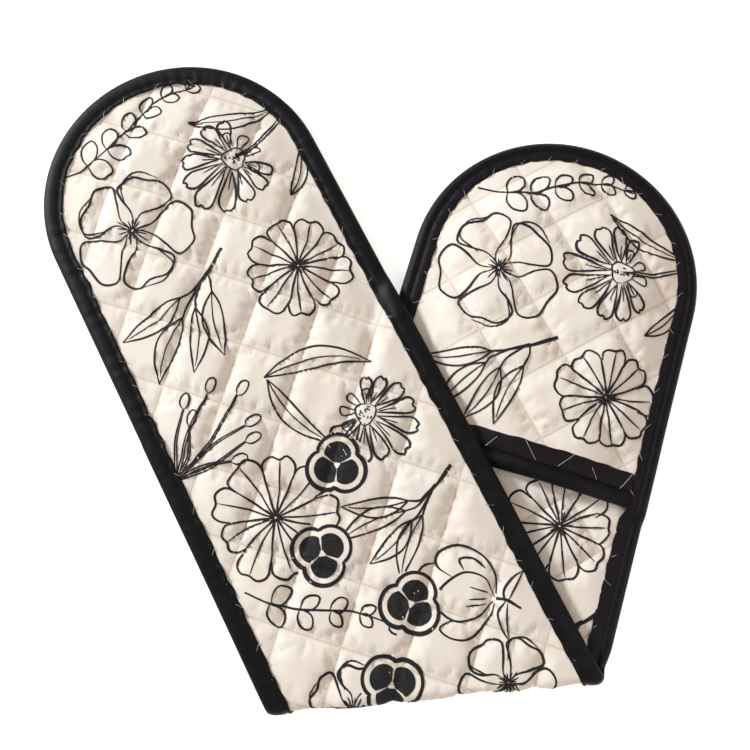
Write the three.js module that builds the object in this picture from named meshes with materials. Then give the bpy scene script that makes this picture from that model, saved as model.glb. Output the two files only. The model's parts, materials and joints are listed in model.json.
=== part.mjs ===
import * as THREE from 'three';

// A double oven glove: a long quilted band with a hand pocket at each rounded end,
// folded once on a slant. The lower arm lies flat, pocket side up. The upper arm lies
// across it, pocket side down. Millimetres, +Z up, floor at z = 0.

// Overall sizes of the band, laid flat.
const BAND_WIDTH = 180;
const UPPER_REACH = 340.7;
const LOWER_REACH = 262.9;
const POCKET_DEPTH = 216;

// The fold: its slant off square to the band, and its direction on the floor.
const FOLD_SLANT = THREE.MathUtils.degToRad(22.15);
const FOLD_TURN = THREE.MathUtils.degToRad(5.21);
const FOLD_ROOM = 0.7;
const FOLD_FLAT = 2.3;
const FOLD_STEPS = 8;

// Cloth, wadding and tape thicknesses, and the gap kept between touching pieces.
const CLOTH = 0.6;
const GAP = 0.3;
const WADDING_FULL = 3.2;
const WADDING_BOUND = 1.4;
const WADDING_EDGE = 0.5;
const TAPE = 0.6;
const TAPE_ROOM = TAPE + GAP;

// Widths of the tape seen on each face, and where the wadding is back to full height.
const EDGE_TAPE_WIDTH = 13;
const MOUTH_TAPE_WIDTH = 21;
const CLOTH_INSET = 1.2;
const TAPE_WALL = 0.9;
const FULL_INSET = 30;
const MOUTH_FULL_INSET = 45;
const TAPE_ROUND = 0.5;

// The room for a hand, and how high the faces of the upper arm lie over the floor.
const HAND_ROOM = 7.5;
const HAND_SLOPE = 42;
const MOUTH_ROOM = 1.2;
const MOUTH_EASE = 35;
const RIM_LIFT = 3;
const FREE_DROP = 0.4;

// Where the upper arm presses the pocket under it, counted from its own right-hand edge,
// and where it rises over the lower arm and that pocket, counted from their own edges.
const PRESS_START = -5;
const PRESS_END = 24;
const RISE_START = -45;
const RISE_END = 5;
const POCKET_RISE_START = -40;
const POCKET_RISE_END = -5;
const MOUTH_RISE_START = 60;
const MOUTH_RISE_END = 6;
const RISE_ROOM = 1.3;
const OWN_MOUTH_EASE = 90;
const FOLD_EASE = 55;
const STACK_START = 7;
const STACK_END = 14;

// Divisions of the meshes.
const CAP_STEPS = 6;
const COLUMNS = 6;
const POCKET_ROWS = 3;
const UPPER_ROWS = 6;
const LOWER_ROWS = 4;
const MOUTH_STEP = 8;

const HALF = BAND_WIDTH / 2;
const OUT = HALF - CLOTH_INSET;
const IN = HALF - EDGE_TAPE_WIDTH;
const BAND_THICK = 2 * CLOTH + 2 * GAP + WADDING_FULL;
const RIM_THICK = 2 * TAPE_ROOM + 4 * CLOTH + 5 * GAP + 2 * WADDING_BOUND;
const FOLD_RADIUS = BAND_THICK + FOLD_ROOM;
const FOLD_STRIP = FOLD_RADIUS + FOLD_FLAT;
const MID_RADIUS = FOLD_RADIUS - BAND_THICK / 2;
const FOLD_TOP = 2 * FOLD_RADIUS;

const CREAM = 0xf0e4d2;
const LINING = 0xeee2d0;
const WADDING = 0xf4f1ea;
const BLACK = 0x1d1d20;

const along = new THREE.Vector2(Math.cos(FOLD_TURN), Math.sin(FOLD_TURN));
const away = new THREE.Vector2(-along.y, along.x);

// An arm: the direction from the fold to its tip, and its right-hand side seen from above.
function makeArm(reach, slant) {
  const angle = FOLD_TURN + Math.PI / 2 + slant;
  const tipward = new THREE.Vector2(Math.cos(angle), Math.sin(angle));
  const right = new THREE.Vector2(tipward.y, -tipward.x);
  return { reach, slant, tipward, right, over: slant > 0 };
}

const LOWER = makeArm(LOWER_REACH, -FOLD_SLANT);
const UPPER = makeArm(UPPER_REACH, FOLD_SLANT);

function clamp01(x) {
  return Math.min(1, Math.max(0, x));
}

function smooth(x, from, to) {
  const u = clamp01((x - from) / (to - from));
  return u * u * (3 - 2 * u);
}

function mix(a, b, share) {
  return a + (b - a) * share;
}

// Straight lines through (x, y) pairs.
function profile(x, pairs) {
  let last = pairs[0];
  for (const next of pairs) {
    if (x < next[0]) {
      return mix(last[1], next[1], clamp01((x - last[0]) / (next[0] - last[0])));
    }
    last = next;
  }
  return last[1];
}

// A spot on an arm is (d, v): d from the tip along the arm, v across it to the right.
function planOf(arm, d, v) {
  const a = arm.reach + HALF - d;
  return new THREE.Vector2()
    .addScaledVector(arm.tipward, a)
    .addScaledVector(arm.right, v);
}

function spotOf(arm, plan) {
  const a = plan.dot(arm.tipward);
  return { d: arm.reach + HALF - a, v: plan.dot(arm.right) };
}

function edgeDistance(d, v) {
  const radius = d < HALF ? Math.hypot(v, HALF - d) : Math.abs(v);
  return HALF - radius;
}

// Wadding thins towards the bound edge.
function waddingAt(distance) {
  return profile(distance, [
    [CLOTH_INSET, WADDING_EDGE],
    [EDGE_TAPE_WIDTH, WADDING_BOUND],
    [FULL_INSET, WADDING_FULL],
  ]);
}

// The pocket's wadding thins towards its mouth too.
function pocketWaddingAt(d, v) {
  const toMouth = profile(POCKET_DEPTH - d, [
    [CLOTH_INSET, WADDING_EDGE],
    [MOUTH_TAPE_WIDTH, WADDING_BOUND],
    [MOUTH_FULL_INSET, WADDING_FULL],
  ]);
  return Math.min(waddingAt(edgeDistance(d, v)), toMouth);
}

// How far the hand room is open, 0 at the bound sides to 1 in the middle. The upper arm
// presses the lower arm's pocket shut where it lies on it.
function openness(arm, d, v) {
  const side = smooth(edgeDistance(d, v), EDGE_TAPE_WIDTH, EDGE_TAPE_WIDTH + HAND_SLOPE);
  if (arm.over) {
    return side;
  }
  const across = spotOf(UPPER, planOf(arm, d, v));
  return side * smooth(across.v, HALF + PRESS_START, HALF + PRESS_END);
}

function roomAt(arm, d, v) {
  const tapeStart = POCKET_DEPTH - MOUTH_TAPE_WIDTH;
  const nearMouth = smooth(d, tapeStart - MOUTH_EASE, tapeStart);
  const least = mix(GAP, MOUTH_ROOM, nearMouth);
  return Math.max(least, GAP + HAND_ROOM * openness(arm, d, v));
}

// Depth below the band's outer face of each layer's two surfaces, at one spot.
function layersAt(arm, d, v) {
  const distance = edgeDistance(d, v);
  const base = TAPE_ROOM * (1 - smooth(distance, EDGE_TAPE_WIDTH, FULL_INSET));
  const wadding = waddingAt(distance);
  const pocketWadding = pocketWaddingAt(d, v);
  const outer = [base, base + CLOTH];
  const middle = [outer[1] + GAP, outer[1] + GAP + wadding];
  const lining = [middle[1] + GAP, middle[1] + GAP + CLOTH];
  const inside = lining[1] + roomAt(arm, d, v);
  const pocketLining = [inside, inside + CLOTH];
  const pocketMiddle = [pocketLining[1] + GAP, pocketLining[1] + GAP + pocketWadding];
  const pocketCloth = [pocketMiddle[1] + GAP, pocketMiddle[1] + GAP + CLOTH];
  return { outer, middle, lining, pocketLining, pocketMiddle, pocketCloth };
}

// 0 while the upper arm's pocket lies beside the lower arm, as its edges cross just past
// its mouth, and 1 where longer or wider pockets lie on the lower arm and are lifted.
function pocketStacking() {
  const mouthEnd = spotOf(LOWER, planOf(UPPER, POCKET_DEPTH, HALF));
  return smooth(mouthEnd.v + HALF, STACK_START, STACK_END);
}

const STACKED = pocketStacking();

// Height of the upper arm's outer face over the floor.
function upperFace(d, v) {
  const plan = planOf(UPPER, d, v);
  const under = spotOf(LOWER, plan);
  const inward = under.v + HALF;
  const pastMouth = under.d - POCKET_DEPTH;
  const onArm = smooth(inward, RISE_START, RISE_END);
  const besidePocket = smooth(inward, POCKET_RISE_START, POCKET_RISE_END);
  const onPocket = besidePocket * smooth(pastMouth, MOUTH_RISE_START, MOUTH_RISE_END);
  const onPocketFace = 3 * BAND_THICK + RISE_ROOM;
  let free = mix(FOLD_TOP - FREE_DROP, FOLD_TOP, onArm);
  free = mix(free, onPocketFace, onPocket);
  const own = mix(RIM_THICK + RIM_LIFT, 2 * BAND_THICK + GAP + HAND_ROOM, openness(UPPER, d, v));
  const inPocket = smooth(d, POCKET_DEPTH + OWN_MOUTH_EASE, POCKET_DEPTH);
  const nearPocket = smooth(d, POCKET_DEPTH + MOUTH_RISE_START, POCKET_DEPTH + MOUTH_RISE_END);
  const underPocket = BAND_THICK + GAP + HAND_ROOM * openness(UPPER, d, v);
  const stacked = free + STACKED * besidePocket * nearPocket * underPocket;
  const face = Math.max(mix(free, Math.max(own, onArm * free), inPocket), STACKED * stacked);
  return mix(FOLD_TOP, face, smooth(plan.dot(away), FOLD_STRIP + GAP, FOLD_EASE));
}

// A point of an arm at a depth below the band's outer face.
function armPoint(arm, d, v, depth) {
  const plan = planOf(arm, d, v);
  const z = arm.over ? upperFace(d, v) - depth : depth;
  return new THREE.Vector3(plan.x, plan.y, z);
}

// A point of the strip round the fold: turn runs from -1 (lower arm) to 1 (upper arm).
function foldPoint(turn, v, depth) {
  const quarter = (Math.PI / 2) * MID_RADIUS;
  const length = turn * (quarter + FOLD_STRIP - FOLD_RADIUS);
  const radius = FOLD_RADIUS - depth;
  const side = Math.sign(turn);
  let q = FOLD_RADIUS + Math.abs(length) - quarter;
  let z = FOLD_RADIUS + side * radius;
  if (Math.abs(length) < quarter) {
    q = FOLD_RADIUS - radius * Math.cos(length / MID_RADIUS);
    z = FOLD_RADIUS + radius * Math.sin(length / MID_RADIUS);
  }
  const t = v / Math.cos(FOLD_SLANT) - Math.tan(FOLD_SLANT) * turn * FOLD_STRIP;
  const plan = new THREE.Vector2().addScaledVector(along, t).addScaledVector(away, q);
  return new THREE.Vector3(plan.x, plan.y, z);
}

function foldTurns() {
  const quarter = (Math.PI / 2) * MID_RADIUS;
  const bend = quarter / (quarter + FOLD_STRIP - FOLD_RADIUS);
  const turns = [-1];
  for (let i = 0; i <= FOLD_STEPS; i += 1) {
    turns.push(bend * (2 * i / FOLD_STEPS - 1));
  }
  turns.push(1);
  return turns;
}

// Positions across the band: cloth edge, tape edge, even columns, tape edge, cloth edge.
function columnsAcross() {
  const list = [-OUT];
  for (let i = 0; i <= COLUMNS; i += 1) {
    list.push(IN * (2 * i / COLUMNS - 1));
  }
  list.push(OUT);
  return list;
}

// A straight row of spots, from d = left at the band's left edge to d = right.
function straightRow(left, right) {
  return columnsAcross().map((v) => ({ d: mix(left, right, (v + HALF) / BAND_WIDTH), v }));
}

function capRow(angle) {
  const spots = [];
  for (const v of columnsAcross()) {
    const reach = Math.abs(v) > IN ? OUT : IN;
    const d = HALF - reach * Math.sin(angle);
    spots.push({ d, v: v * Math.cos(angle) });
  }
  return spots;
}

// Rows round the rounded end and down to the pocket's mouth, tip first.
function pocketRows(mouthDepth) {
  const rows = [];
  for (let i = CAP_STEPS - 1; i >= 0; i -= 1) {
    rows.push(capRow((Math.PI / 2) * (i / CAP_STEPS)));
  }
  const last = POCKET_DEPTH - MOUTH_TAPE_WIDTH;
  for (let i = 1; i <= POCKET_ROWS; i += 1) {
    const d = mix(HALF, last, i / POCKET_ROWS);
    rows.push(straightRow(d, d));
  }
  rows.push(straightRow(mouthDepth, mouthDepth));
  return rows;
}

// Rows of the whole arm, tip first, ending side by side with the fold strip.
function armRows(arm, count) {
  const rows = pocketRows(POCKET_DEPTH);
  const start = POCKET_DEPTH + MOUTH_STEP;
  const end = arm.reach + HALF - (FOLD_STRIP + GAP) / Math.cos(FOLD_SLANT);
  const skew = Math.tan(arm.slant) * HALF;
  for (let i = 0; i <= count; i += 1) {
    const share = i / count;
    rows.push(straightRow(mix(start, end - skew, share), mix(start, end + skew, share)));
  }
  return rows;
}

const TIP_OUT = { d: CLOTH_INSET, v: 0 };
const TIP_IN = { d: EDGE_TAPE_WIDTH, v: 0 };

// Vertices and faces gathered into one closed body.
class Body {
  constructor() {
    this.points = [];
    this.faces = [];
  }

  add(point) {
    this.points.push(point);
    return this.points.length - 1;
  }

  quad(a, b, c, d) {
    this.faces.push([a, b, c], [a, c, d]);
  }

  volume() {
    let sum = 0;
    for (const [a, b, c] of this.faces) {
      const cross = new THREE.Vector3().crossVectors(this.points[b], this.points[c]);
      sum += this.points[a].dot(cross);
    }
    return sum;
  }

  mesh(name, colour, roughness) {
    const faces = this.volume() < 0 ? this.faces.map(([a, b, c]) => [a, c, b]) : this.faces;
    const geometry = new THREE.BufferGeometry();
    const numbers = this.points.flatMap((p) => [p.x, p.y, p.z]);
    geometry.setAttribute('position', new THREE.Float32BufferAttribute(numbers, 3));
    geometry.setIndex(faces.flat());
    geometry.computeVertexNormals();
    const material = new THREE.MeshStandardMaterial({ color: colour, roughness, metalness: 0 });
    const mesh = new THREE.Mesh(geometry, material);
    mesh.name = name;
    return mesh;
  }
}

// A layer between two surfaces over a grid of rows. A tip closes the rounded end.
function layerBody(rows, tip, pointAt) {
  const body = new Body();
  const sides = [0, 1].map((side) => {
    const grid = rows.map((row) => row.map((spot) => body.add(pointAt(spot, side))));
    const ends = tip ? tip.map((spot) => body.add(pointAt(spot, side))) : null;
    return { grid, ends };
  });
  const wide = rows[0].length;
  sides.forEach(({ grid, ends }, side) => {
    const before = body.faces.length;
    for (let r = 0; r + 1 < grid.length; r += 1) {
      for (let c = 0; c + 1 < wide; c += 1) {
        body.quad(grid[r][c], grid[r][c + 1], grid[r + 1][c + 1], grid[r + 1][c]);
      }
    }
    if (ends) {
      const first = grid[0];
      body.quad(ends[0], ends[1], first[1], first[0]);
      body.quad(ends[1], ends[0], first[wide - 1], first[wide - 2]);
      for (let c = 1; c + 2 < wide; c += 1) {
        body.faces.push([ends[1], first[c + 1], first[c]]);
      }
    }
    if (side === 1) {
      for (let i = before; i < body.faces.length; i += 1) {
        body.faces[i].reverse();
      }
    }
  });
  closeRim(body, sides, wide);
  return body;
}

// The rim between the two surfaces of a layer.
function closeRim(body, sides, wide) {
  const rim = sides.map(({ grid, ends }) => {
    const left = grid.map((row) => row[0]);
    const right = grid.map((row) => row[wide - 1]);
    const lastRow = grid[grid.length - 1].slice(1, wide - 1);
    const top = ends ? [ends[0]] : grid[0].slice(1, wide - 1).reverse();
    return [...left, ...lastRow, ...right.reverse(), ...top];
  });
  const count = rim[0].length;
  for (let i = 0; i < count; i += 1) {
    const j = (i + 1) % count;
    body.quad(rim[0][i], rim[0][j], rim[1][j], rim[1][i]);
  }
}

// A section of closed loops swept along stations and capped at both ends. Each face is
// split from its outer corner to the next station's inner one, as the layers' faces are.
function sweptBody(stations) {
  const body = new Body();
  const loops = stations.map((loop) => loop.map((point) => body.add(point)));
  const size = loops[0].length;
  for (let s = 0; s + 1 < loops.length; s += 1) {
    for (let i = 0; i < size; i += 1) {
      const j = (i + 1) % size;
      const quad = [loops[s][i], loops[s][j], loops[s + 1][j], loops[s + 1][i]];
      if (i % (size / 2) < size / 4) {
        quad.push(quad.shift());
      }
      body.quad(...quad);
    }
  }
  capLoop(body, loops[0], false);
  capLoop(body, loops[loops.length - 1], true);
  return body;
}

// A tape section is a folded strip: point i of its outside pairs with its inside.
function capLoop(body, loop, flip) {
  const size = loop.length;
  for (let i = 0; i + 1 < size / 2; i += 1) {
    const quad = [loop[i], loop[size - 1 - i], loop[size - 2 - i], loop[i + 1]];
    if (flip) {
      quad.reverse();
    }
    body.quad(...quad);
  }
}

function layerMesh(name, arm, rows, layer, colour, roughness) {
  const pointAt = (spot, side) => {
    const depth = layersAt(arm, spot.d, spot.v)[layer][side];
    return armPoint(arm, spot.d, spot.v, depth);
  };
  return layerBody(rows, [TIP_OUT, TIP_IN], pointAt).mesh(name, colour, roughness);
}

// Tape section round a cloth edge. edge and inner hold the depths of the stack's two
// faces at the cloth's edge and at the tape's inner edge; point(inset, depth) places it.
function tapeLoop(point, edge, inner, width) {
  const outside = [
    point(width, inner[0] - TAPE_ROOM),
    point(CLOTH_INSET, edge[0] - TAPE_ROOM),
    point(0, edge[0] - TAPE_ROUND),
    point(0, edge[1] + TAPE_ROUND),
    point(CLOTH_INSET, edge[1] + TAPE_ROOM),
    point(width, inner[1] + TAPE_ROOM),
  ];
  const inside = [
    point(width, inner[1] + GAP),
    point(CLOTH_INSET, edge[1] + GAP),
    point(TAPE_WALL, edge[1] + GAP),
    point(TAPE_WALL, edge[0] - GAP),
    point(CLOTH_INSET, edge[0] - GAP),
    point(width, inner[0] - GAP),
  ];
  return [...outside, ...inside];
}

// The two faces of everything sewn together at a spot of the bound edge.
function stackFaces(arm, d, v) {
  const layers = layersAt(arm, Math.min(d, d <= POCKET_DEPTH ? POCKET_DEPTH - CLOTH_INSET : d), v);
  const far = d <= POCKET_DEPTH ? layers.pocketCloth[1] : layers.lining[1];
  return [layers.outer[0], far];
}

// Stations of the tape round the arm: the edge spot and the direction inwards.
function edgeStations(rows) {
  const left = rows.map((row) => [row[0], row[1]]);
  const right = rows.map((row) => [row[row.length - 1], row[row.length - 2]]);
  return [...right.reverse(), [TIP_OUT, TIP_IN], ...left];
}

function edgeBinding(name, arm, rows) {
  const stations = edgeStations(rows).map(([edge, inner]) => {
    const span = EDGE_TAPE_WIDTH - CLOTH_INSET;
    const point = (inset, depth) => {
      const share = (inset - CLOTH_INSET) / span;
      const d = mix(edge.d, inner.d, share);
      const v = mix(edge.v, inner.v, share);
      const plan = planOf(arm, d, v);
      const spot = inset > (CLOTH_INSET + EDGE_TAPE_WIDTH) / 2 ? inner : edge;
      const z = arm.over ? upperFace(spot.d, spot.v) - depth : depth;
      return new THREE.Vector3(plan.x, plan.y, z);
    };
    const edgeFaces = stackFaces(arm, edge.d, edge.v);
    const innerFaces = stackFaces(arm, inner.d, inner.v);
    return tapeLoop(point, edgeFaces, innerFaces, EDGE_TAPE_WIDTH);
  });
  return sweptBody(stations).mesh(name, BLACK, 0.9);
}

function mouthBinding(name, arm) {
  const stop = IN - TAPE;
  const stations = columnsAcross().slice(1, -1).reverse().map((v) => {
    const heldV = Math.min(stop, Math.max(-stop, v));
    const facesAt = (d) => {
      const layers = layersAt(arm, d, v);
      return [layers.pocketLining[0], layers.pocketCloth[1]];
    };
    const point = (inset, depth) => {
      const d = POCKET_DEPTH - inset;
      const plan = planOf(arm, d, heldV);
      const level = Math.min(d, POCKET_DEPTH - CLOTH_INSET);
      const z = arm.over ? upperFace(level, v) - depth : depth;
      return new THREE.Vector3(plan.x, plan.y, z);
    };
    const edge = facesAt(POCKET_DEPTH - CLOTH_INSET);
    const inner = facesAt(POCKET_DEPTH - MOUTH_TAPE_WIDTH);
    return tapeLoop(point, edge, inner, MOUTH_TAPE_WIDTH);
  });
  return sweptBody(stations).mesh(name, BLACK, 0.9);
}

function foldLayer(name, layer, colour, roughness) {
  const rows = foldTurns().map((turn) => columnsAcross().map((v) => ({ turn, v })));
  const pointAt = (spot, side) => {
    const depth = layersAt(LOWER, UPPER_REACH, spot.v)[layer][side];
    return foldPoint(spot.turn, spot.v, depth);
  };
  return layerBody(rows, null, pointAt).mesh(name, colour, roughness);
}

function foldBinding(name, side) {
  const stations = foldTurns().map((turn) => {
    const point = (inset, depth) => foldPoint(turn, side * (HALF - inset), depth);
    const facesAt = (v) => {
      const layers = layersAt(LOWER, UPPER_REACH, v);
      return [layers.outer[0], layers.lining[1]];
    };
    return tapeLoop(point, facesAt(OUT), facesAt(IN), EDGE_TAPE_WIDTH);
  });
  if (side > 0) {
    stations.reverse();
  }
  return sweptBody(stations).mesh(name, BLACK, 0.9);
}

function armMeshes(prefix, arm, rowCount) {
  const rows = armRows(arm, rowCount);
  const pocket = pocketRows(POCKET_DEPTH - CLOTH_INSET);
  return [
    layerMesh(`${prefix}_outer_cloth`, arm, rows, 'outer', CREAM, 0.9),
    layerMesh(`${prefix}_wadding`, arm, rows, 'middle', WADDING, 1),
    layerMesh(`${prefix}_lining`, arm, rows, 'lining', LINING, 0.9),
    layerMesh(`${prefix}_pocket_lining`, arm, pocket, 'pocketLining', LINING, 0.95),
    layerMesh(`${prefix}_pocket_wadding`, arm, pocket, 'pocketMiddle', WADDING, 1),
    layerMesh(`${prefix}_pocket_cloth`, arm, pocket, 'pocketCloth', CREAM, 0.9),
    edgeBinding(`${prefix}_edge_binding`, arm, rows),
    mouthBinding(`${prefix}_mouth_binding`, arm),
  ];
}

function foldMeshes() {
  return [
    foldLayer('fold_outer_cloth', 'outer', CREAM, 0.9),
    foldLayer('fold_wadding', 'middle', WADDING, 1),
    foldLayer('fold_lining', 'lining', LINING, 0.9),
    foldBinding('fold_binding_left', -1),
    foldBinding('fold_binding_right', 1),
  ];
}

// Put the origin under the middle of the part.
function centre(meshes) {
  const box = new THREE.Box3();
  for (const mesh of meshes) {
    mesh.geometry.computeBoundingBox();
    box.union(mesh.geometry.boundingBox);
  }
  const middle = box.getCenter(new THREE.Vector3());
  for (const mesh of meshes) {
    mesh.geometry.translate(-middle.x, -middle.y, -box.min.z);
  }
}

const meshes = [
  ...armMeshes('lower', LOWER, LOWER_ROWS),
  ...foldMeshes(),
  ...armMeshes('upper', UPPER, UPPER_ROWS),
];
centre(meshes);

const part = new THREE.Group();
part.name = 'double_oven_glove';
part.add(...meshes);

export default part;
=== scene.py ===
"""Double oven glove: one long quilted band with a hand pocket at each end, folded once on
a slant into a V and laid flat. Sizes are in millimetres until a piece is placed."""
import json
from math import atan2, cos, hypot, pi, radians, sin, sqrt, tan

import bmesh
import bpy
import numpy as np
from mathutils import Matrix, Vector


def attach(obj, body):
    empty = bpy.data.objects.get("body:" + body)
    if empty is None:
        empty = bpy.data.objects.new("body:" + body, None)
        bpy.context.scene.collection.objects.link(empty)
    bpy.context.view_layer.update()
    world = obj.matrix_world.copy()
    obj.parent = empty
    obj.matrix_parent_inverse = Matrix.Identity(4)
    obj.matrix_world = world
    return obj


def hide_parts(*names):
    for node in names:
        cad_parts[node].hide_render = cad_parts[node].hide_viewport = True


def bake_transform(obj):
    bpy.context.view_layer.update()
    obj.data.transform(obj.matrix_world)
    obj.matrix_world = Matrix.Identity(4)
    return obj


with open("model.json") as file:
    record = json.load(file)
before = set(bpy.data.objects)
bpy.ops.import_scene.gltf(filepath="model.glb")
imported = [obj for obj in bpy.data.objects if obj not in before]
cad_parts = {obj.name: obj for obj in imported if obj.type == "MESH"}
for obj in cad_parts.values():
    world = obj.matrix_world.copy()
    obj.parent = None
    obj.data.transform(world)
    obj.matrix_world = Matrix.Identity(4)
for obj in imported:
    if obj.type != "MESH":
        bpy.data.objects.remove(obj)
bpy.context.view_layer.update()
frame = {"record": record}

MM = 0.001

# The band and how it is folded.
HALF = 90.0
UPPER_REACH = 340.7
LOWER_REACH = 262.9
BAND_LENGTH = UPPER_REACH + LOWER_REACH + 2 * HALF
POCKET_DEPTH = 216.0
FOLD_SLANT = radians(22.15)
FOLD_TURN = radians(5.21)
FOLD_RADIUS = 5.7
FOLD_STRIP = 8.0
FOLD_TOP = 2 * FOLD_RADIUS
BEND_RADIUS = 3.2
BEND_QUARTER = pi / 2 * BEND_RADIUS
CORNER = 3.8

# The layers.
CLOTH = 0.6
GAP = 0.3
CLOTH_INSET = 1.2
EDGE_TAPE = 13.0
MOUTH_TAPE = 21.0
TAPE_ROOM = 0.9
BAND_THICK = 5.0
HAND_ROOM = 7.5
RIM_THICK = 8.5

# Quilting: squares on the slant, and where their seams cross.
SQUARE = 37.5
SEAM_A = 17.4
SEAM_B = 31.3
PER_SQUARE = 20
PATCH = 6
PUFF = 1.75
FREE_PUFF = 3.2
CREASE = 1.4
BLOWN_FRAMES = 24

CLOTH_WALL = 0.45
TAPE_WALL = 0.5
FILLING_GAP = 0.12
THINNEST_FILLING = 0.1
INK_RISE = 0.12
INK = 1.3


def clamp01(x):
    return np.clip(x, 0.0, 1.0)


def smooth(x, start, end):
    u = clamp01((x - start) / (end - start))
    return u * u * (3 - 2 * u)


def mix(a, b, share):
    return a + (b - a) * share


# ---------------------------------------------------------------- the folded band

class Arm:
    """One arm of the V: reach is from the fold to the middle of its rounded end."""

    def __init__(self, reach, slant):
        angle = FOLD_TURN + pi / 2 + slant
        self.reach = reach
        self.over = slant > 0
        self.tipward = np.array([cos(angle), sin(angle)])
        self.right = np.array([sin(angle), -cos(angle)])

    def plan(self, d, v):
        a = self.reach + HALF - d
        return a[..., None] * self.tipward + v[..., None] * self.right

    def spot(self, plan):
        return self.reach + HALF - plan @ self.tipward, plan @ self.right


LOWER = Arm(LOWER_REACH, -FOLD_SLANT)
UPPER = Arm(UPPER_REACH, FOLD_SLANT)
ALONG = np.array([cos(FOLD_TURN), sin(FOLD_TURN)])
AWAY = np.array([-sin(FOLD_TURN), cos(FOLD_TURN)])
HINGE = np.array(frame["record"]["behaviour"]["joints"][0]["pos_m"]) / MM
ORIGIN = HINGE[:2] - AWAY * FOLD_RADIUS


def edge_distance(d, v):
    return HALF - np.where(d < HALF, np.hypot(v, HALF - d), np.abs(v))


def wadding_at(distance):
    return np.interp(distance, [CLOTH_INSET, EDGE_TAPE, 30], [0.5, 1.4, 3.2])


def pocket_wadding_at(d, v):
    mouth = np.interp(POCKET_DEPTH - d, [CLOTH_INSET, MOUTH_TAPE, 45], [0.5, 1.4, 3.2])
    return np.minimum(wadding_at(edge_distance(d, v)), mouth)


def openness(arm, d, v):
    side = smooth(edge_distance(d, v), EDGE_TAPE, EDGE_TAPE + 42)
    if arm.over:
        return side
    return side * smooth(UPPER.spot(arm.plan(d, v))[1], HALF - 5, HALF + 24)


def room_at(arm, d, v):
    tape = POCKET_DEPTH - MOUTH_TAPE
    least = mix(GAP, 1.2, smooth(d, tape - 35, tape))
    return np.maximum(least, GAP + HAND_ROOM * openness(arm, d, v))


def layers(arm, d, v):
    """Depth below the band's outer face of each layer's two faces."""
    distance = edge_distance(d, v)
    base = TAPE_ROOM * (1 - smooth(distance, EDGE_TAPE, 30))
    middle = base + CLOTH + GAP
    lining = middle + wadding_at(distance) + GAP
    hand = lining + CLOTH + room_at(arm, d, v)
    pocket_middle = hand + CLOTH + GAP
    pocket = pocket_middle + pocket_wadding_at(d, v) + GAP
    return {
        "outer": (base, base + CLOTH),
        "lining": (lining, lining + CLOTH),
        "pocket_lining": (hand, hand + CLOTH),
        "pocket_cloth": (pocket, pocket + CLOTH),
    }


def upper_face(d, v):
    """Height of the upper arm's outer face: it rides over the lower arm and its pocket."""
    plan = UPPER.plan(d, v)
    under_d, under_v = LOWER.spot(plan)
    inward = under_v + HALF
    past_mouth = under_d - POCKET_DEPTH
    on_arm = smooth(inward, -45, 5)
    on_pocket = smooth(inward, -40, -5) * (1 - smooth(past_mouth, 6, 60))
    free = mix(FOLD_TOP - 0.4, FOLD_TOP, on_arm)
    free = mix(free, 3 * BAND_THICK + 1.3, on_pocket)
    own = mix(RIM_THICK + 3, 2 * BAND_THICK + GAP + HAND_ROOM, openness(UPPER, d, v))
    in_pocket = 1 - smooth(d, POCKET_DEPTH, POCKET_DEPTH + 90)
    face = mix(free, np.maximum(own, on_arm * free), in_pocket)
    return mix(FOLD_TOP, face, smooth(plan @ AWAY, FOLD_STRIP + GAP, 55))


def fold_distance(v, s):
    """Distance from the fold line, measured flat: above 0 on the upper arm."""
    return (UPPER_REACH + HALF - s) * cos(FOLD_SLANT) + v * sin(FOLD_SLANT)


def fold_point(turn, v, depth):
    length = turn * (BEND_QUARTER + FOLD_STRIP - FOLD_RADIUS)
    radius = FOLD_RADIUS - depth
    bent = np.abs(length) < BEND_QUARTER
    q = np.where(bent, FOLD_RADIUS - radius * np.cos(length / BEND_RADIUS),
                 FOLD_RADIUS + np.abs(length) - BEND_QUARTER)
    z = FOLD_RADIUS + radius * np.where(bent, np.sin(length / BEND_RADIUS), np.sign(turn))
    t = v / cos(FOLD_SLANT) - tan(FOLD_SLANT) * turn * FOLD_STRIP
    return t[..., None] * ALONG + q[..., None] * AWAY, z


def corner_rounding(plan):
    """How far the tape's thickness pushes the fold's right corner back."""
    end = HALF / cos(FOLD_SLANT)
    x = clamp01((plan @ ALONG - end) / CORNER + 1)
    return CORNER * (1 - np.sqrt(1 - x * x)) * (1 - smooth(plan @ AWAY, 0, 5 * CORNER))


def place(v, s, depth):
    """From the flat band (v across, s along, depth below its outer face) to where the
    folded band lies, in metres."""
    q = fold_distance(v, s)
    upper_plan = UPPER.plan(s, v)
    upper_z = upper_face(s, v) - depth
    lower_plan = LOWER.plan(BAND_LENGTH - s, v)
    fold_plan, fold_z = fold_point(np.clip(q / FOLD_STRIP, -1, 1), v, depth)
    over, under = q > FOLD_STRIP, q < -FOLD_STRIP
    plan = np.where(over[:, None], upper_plan, np.where(under[:, None], lower_plan, fold_plan))
    z = np.where(over, upper_z, np.where(under, depth, fold_z))
    plan = plan + corner_rounding(plan)[:, None] * AWAY
    return np.column_stack([plan + ORIGIN, z]) * MM


def arm_spot(v, s):
    """Which arm's spot this is: its distance from the tip, and whether it is the upper."""
    over = fold_distance(v, s) > 0
    return np.where(over, s, BAND_LENGTH - s), over


def depths(v, s, layer, face):
    d, over = arm_spot(v, s)
    return np.where(over, layers(UPPER, d, v)[layer][face], layers(LOWER, d, v)[layer][face])


# ---------------------------------------------------------------- quilting relief

def seam_coordinates(v, s):
    """Whole numbers lie on the two families of seams."""
    a = ((s + v) / sqrt(2) - SEAM_A) / SQUARE
    b = ((s - v) / sqrt(2) - SEAM_B) / SQUARE
    return a, b


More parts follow.
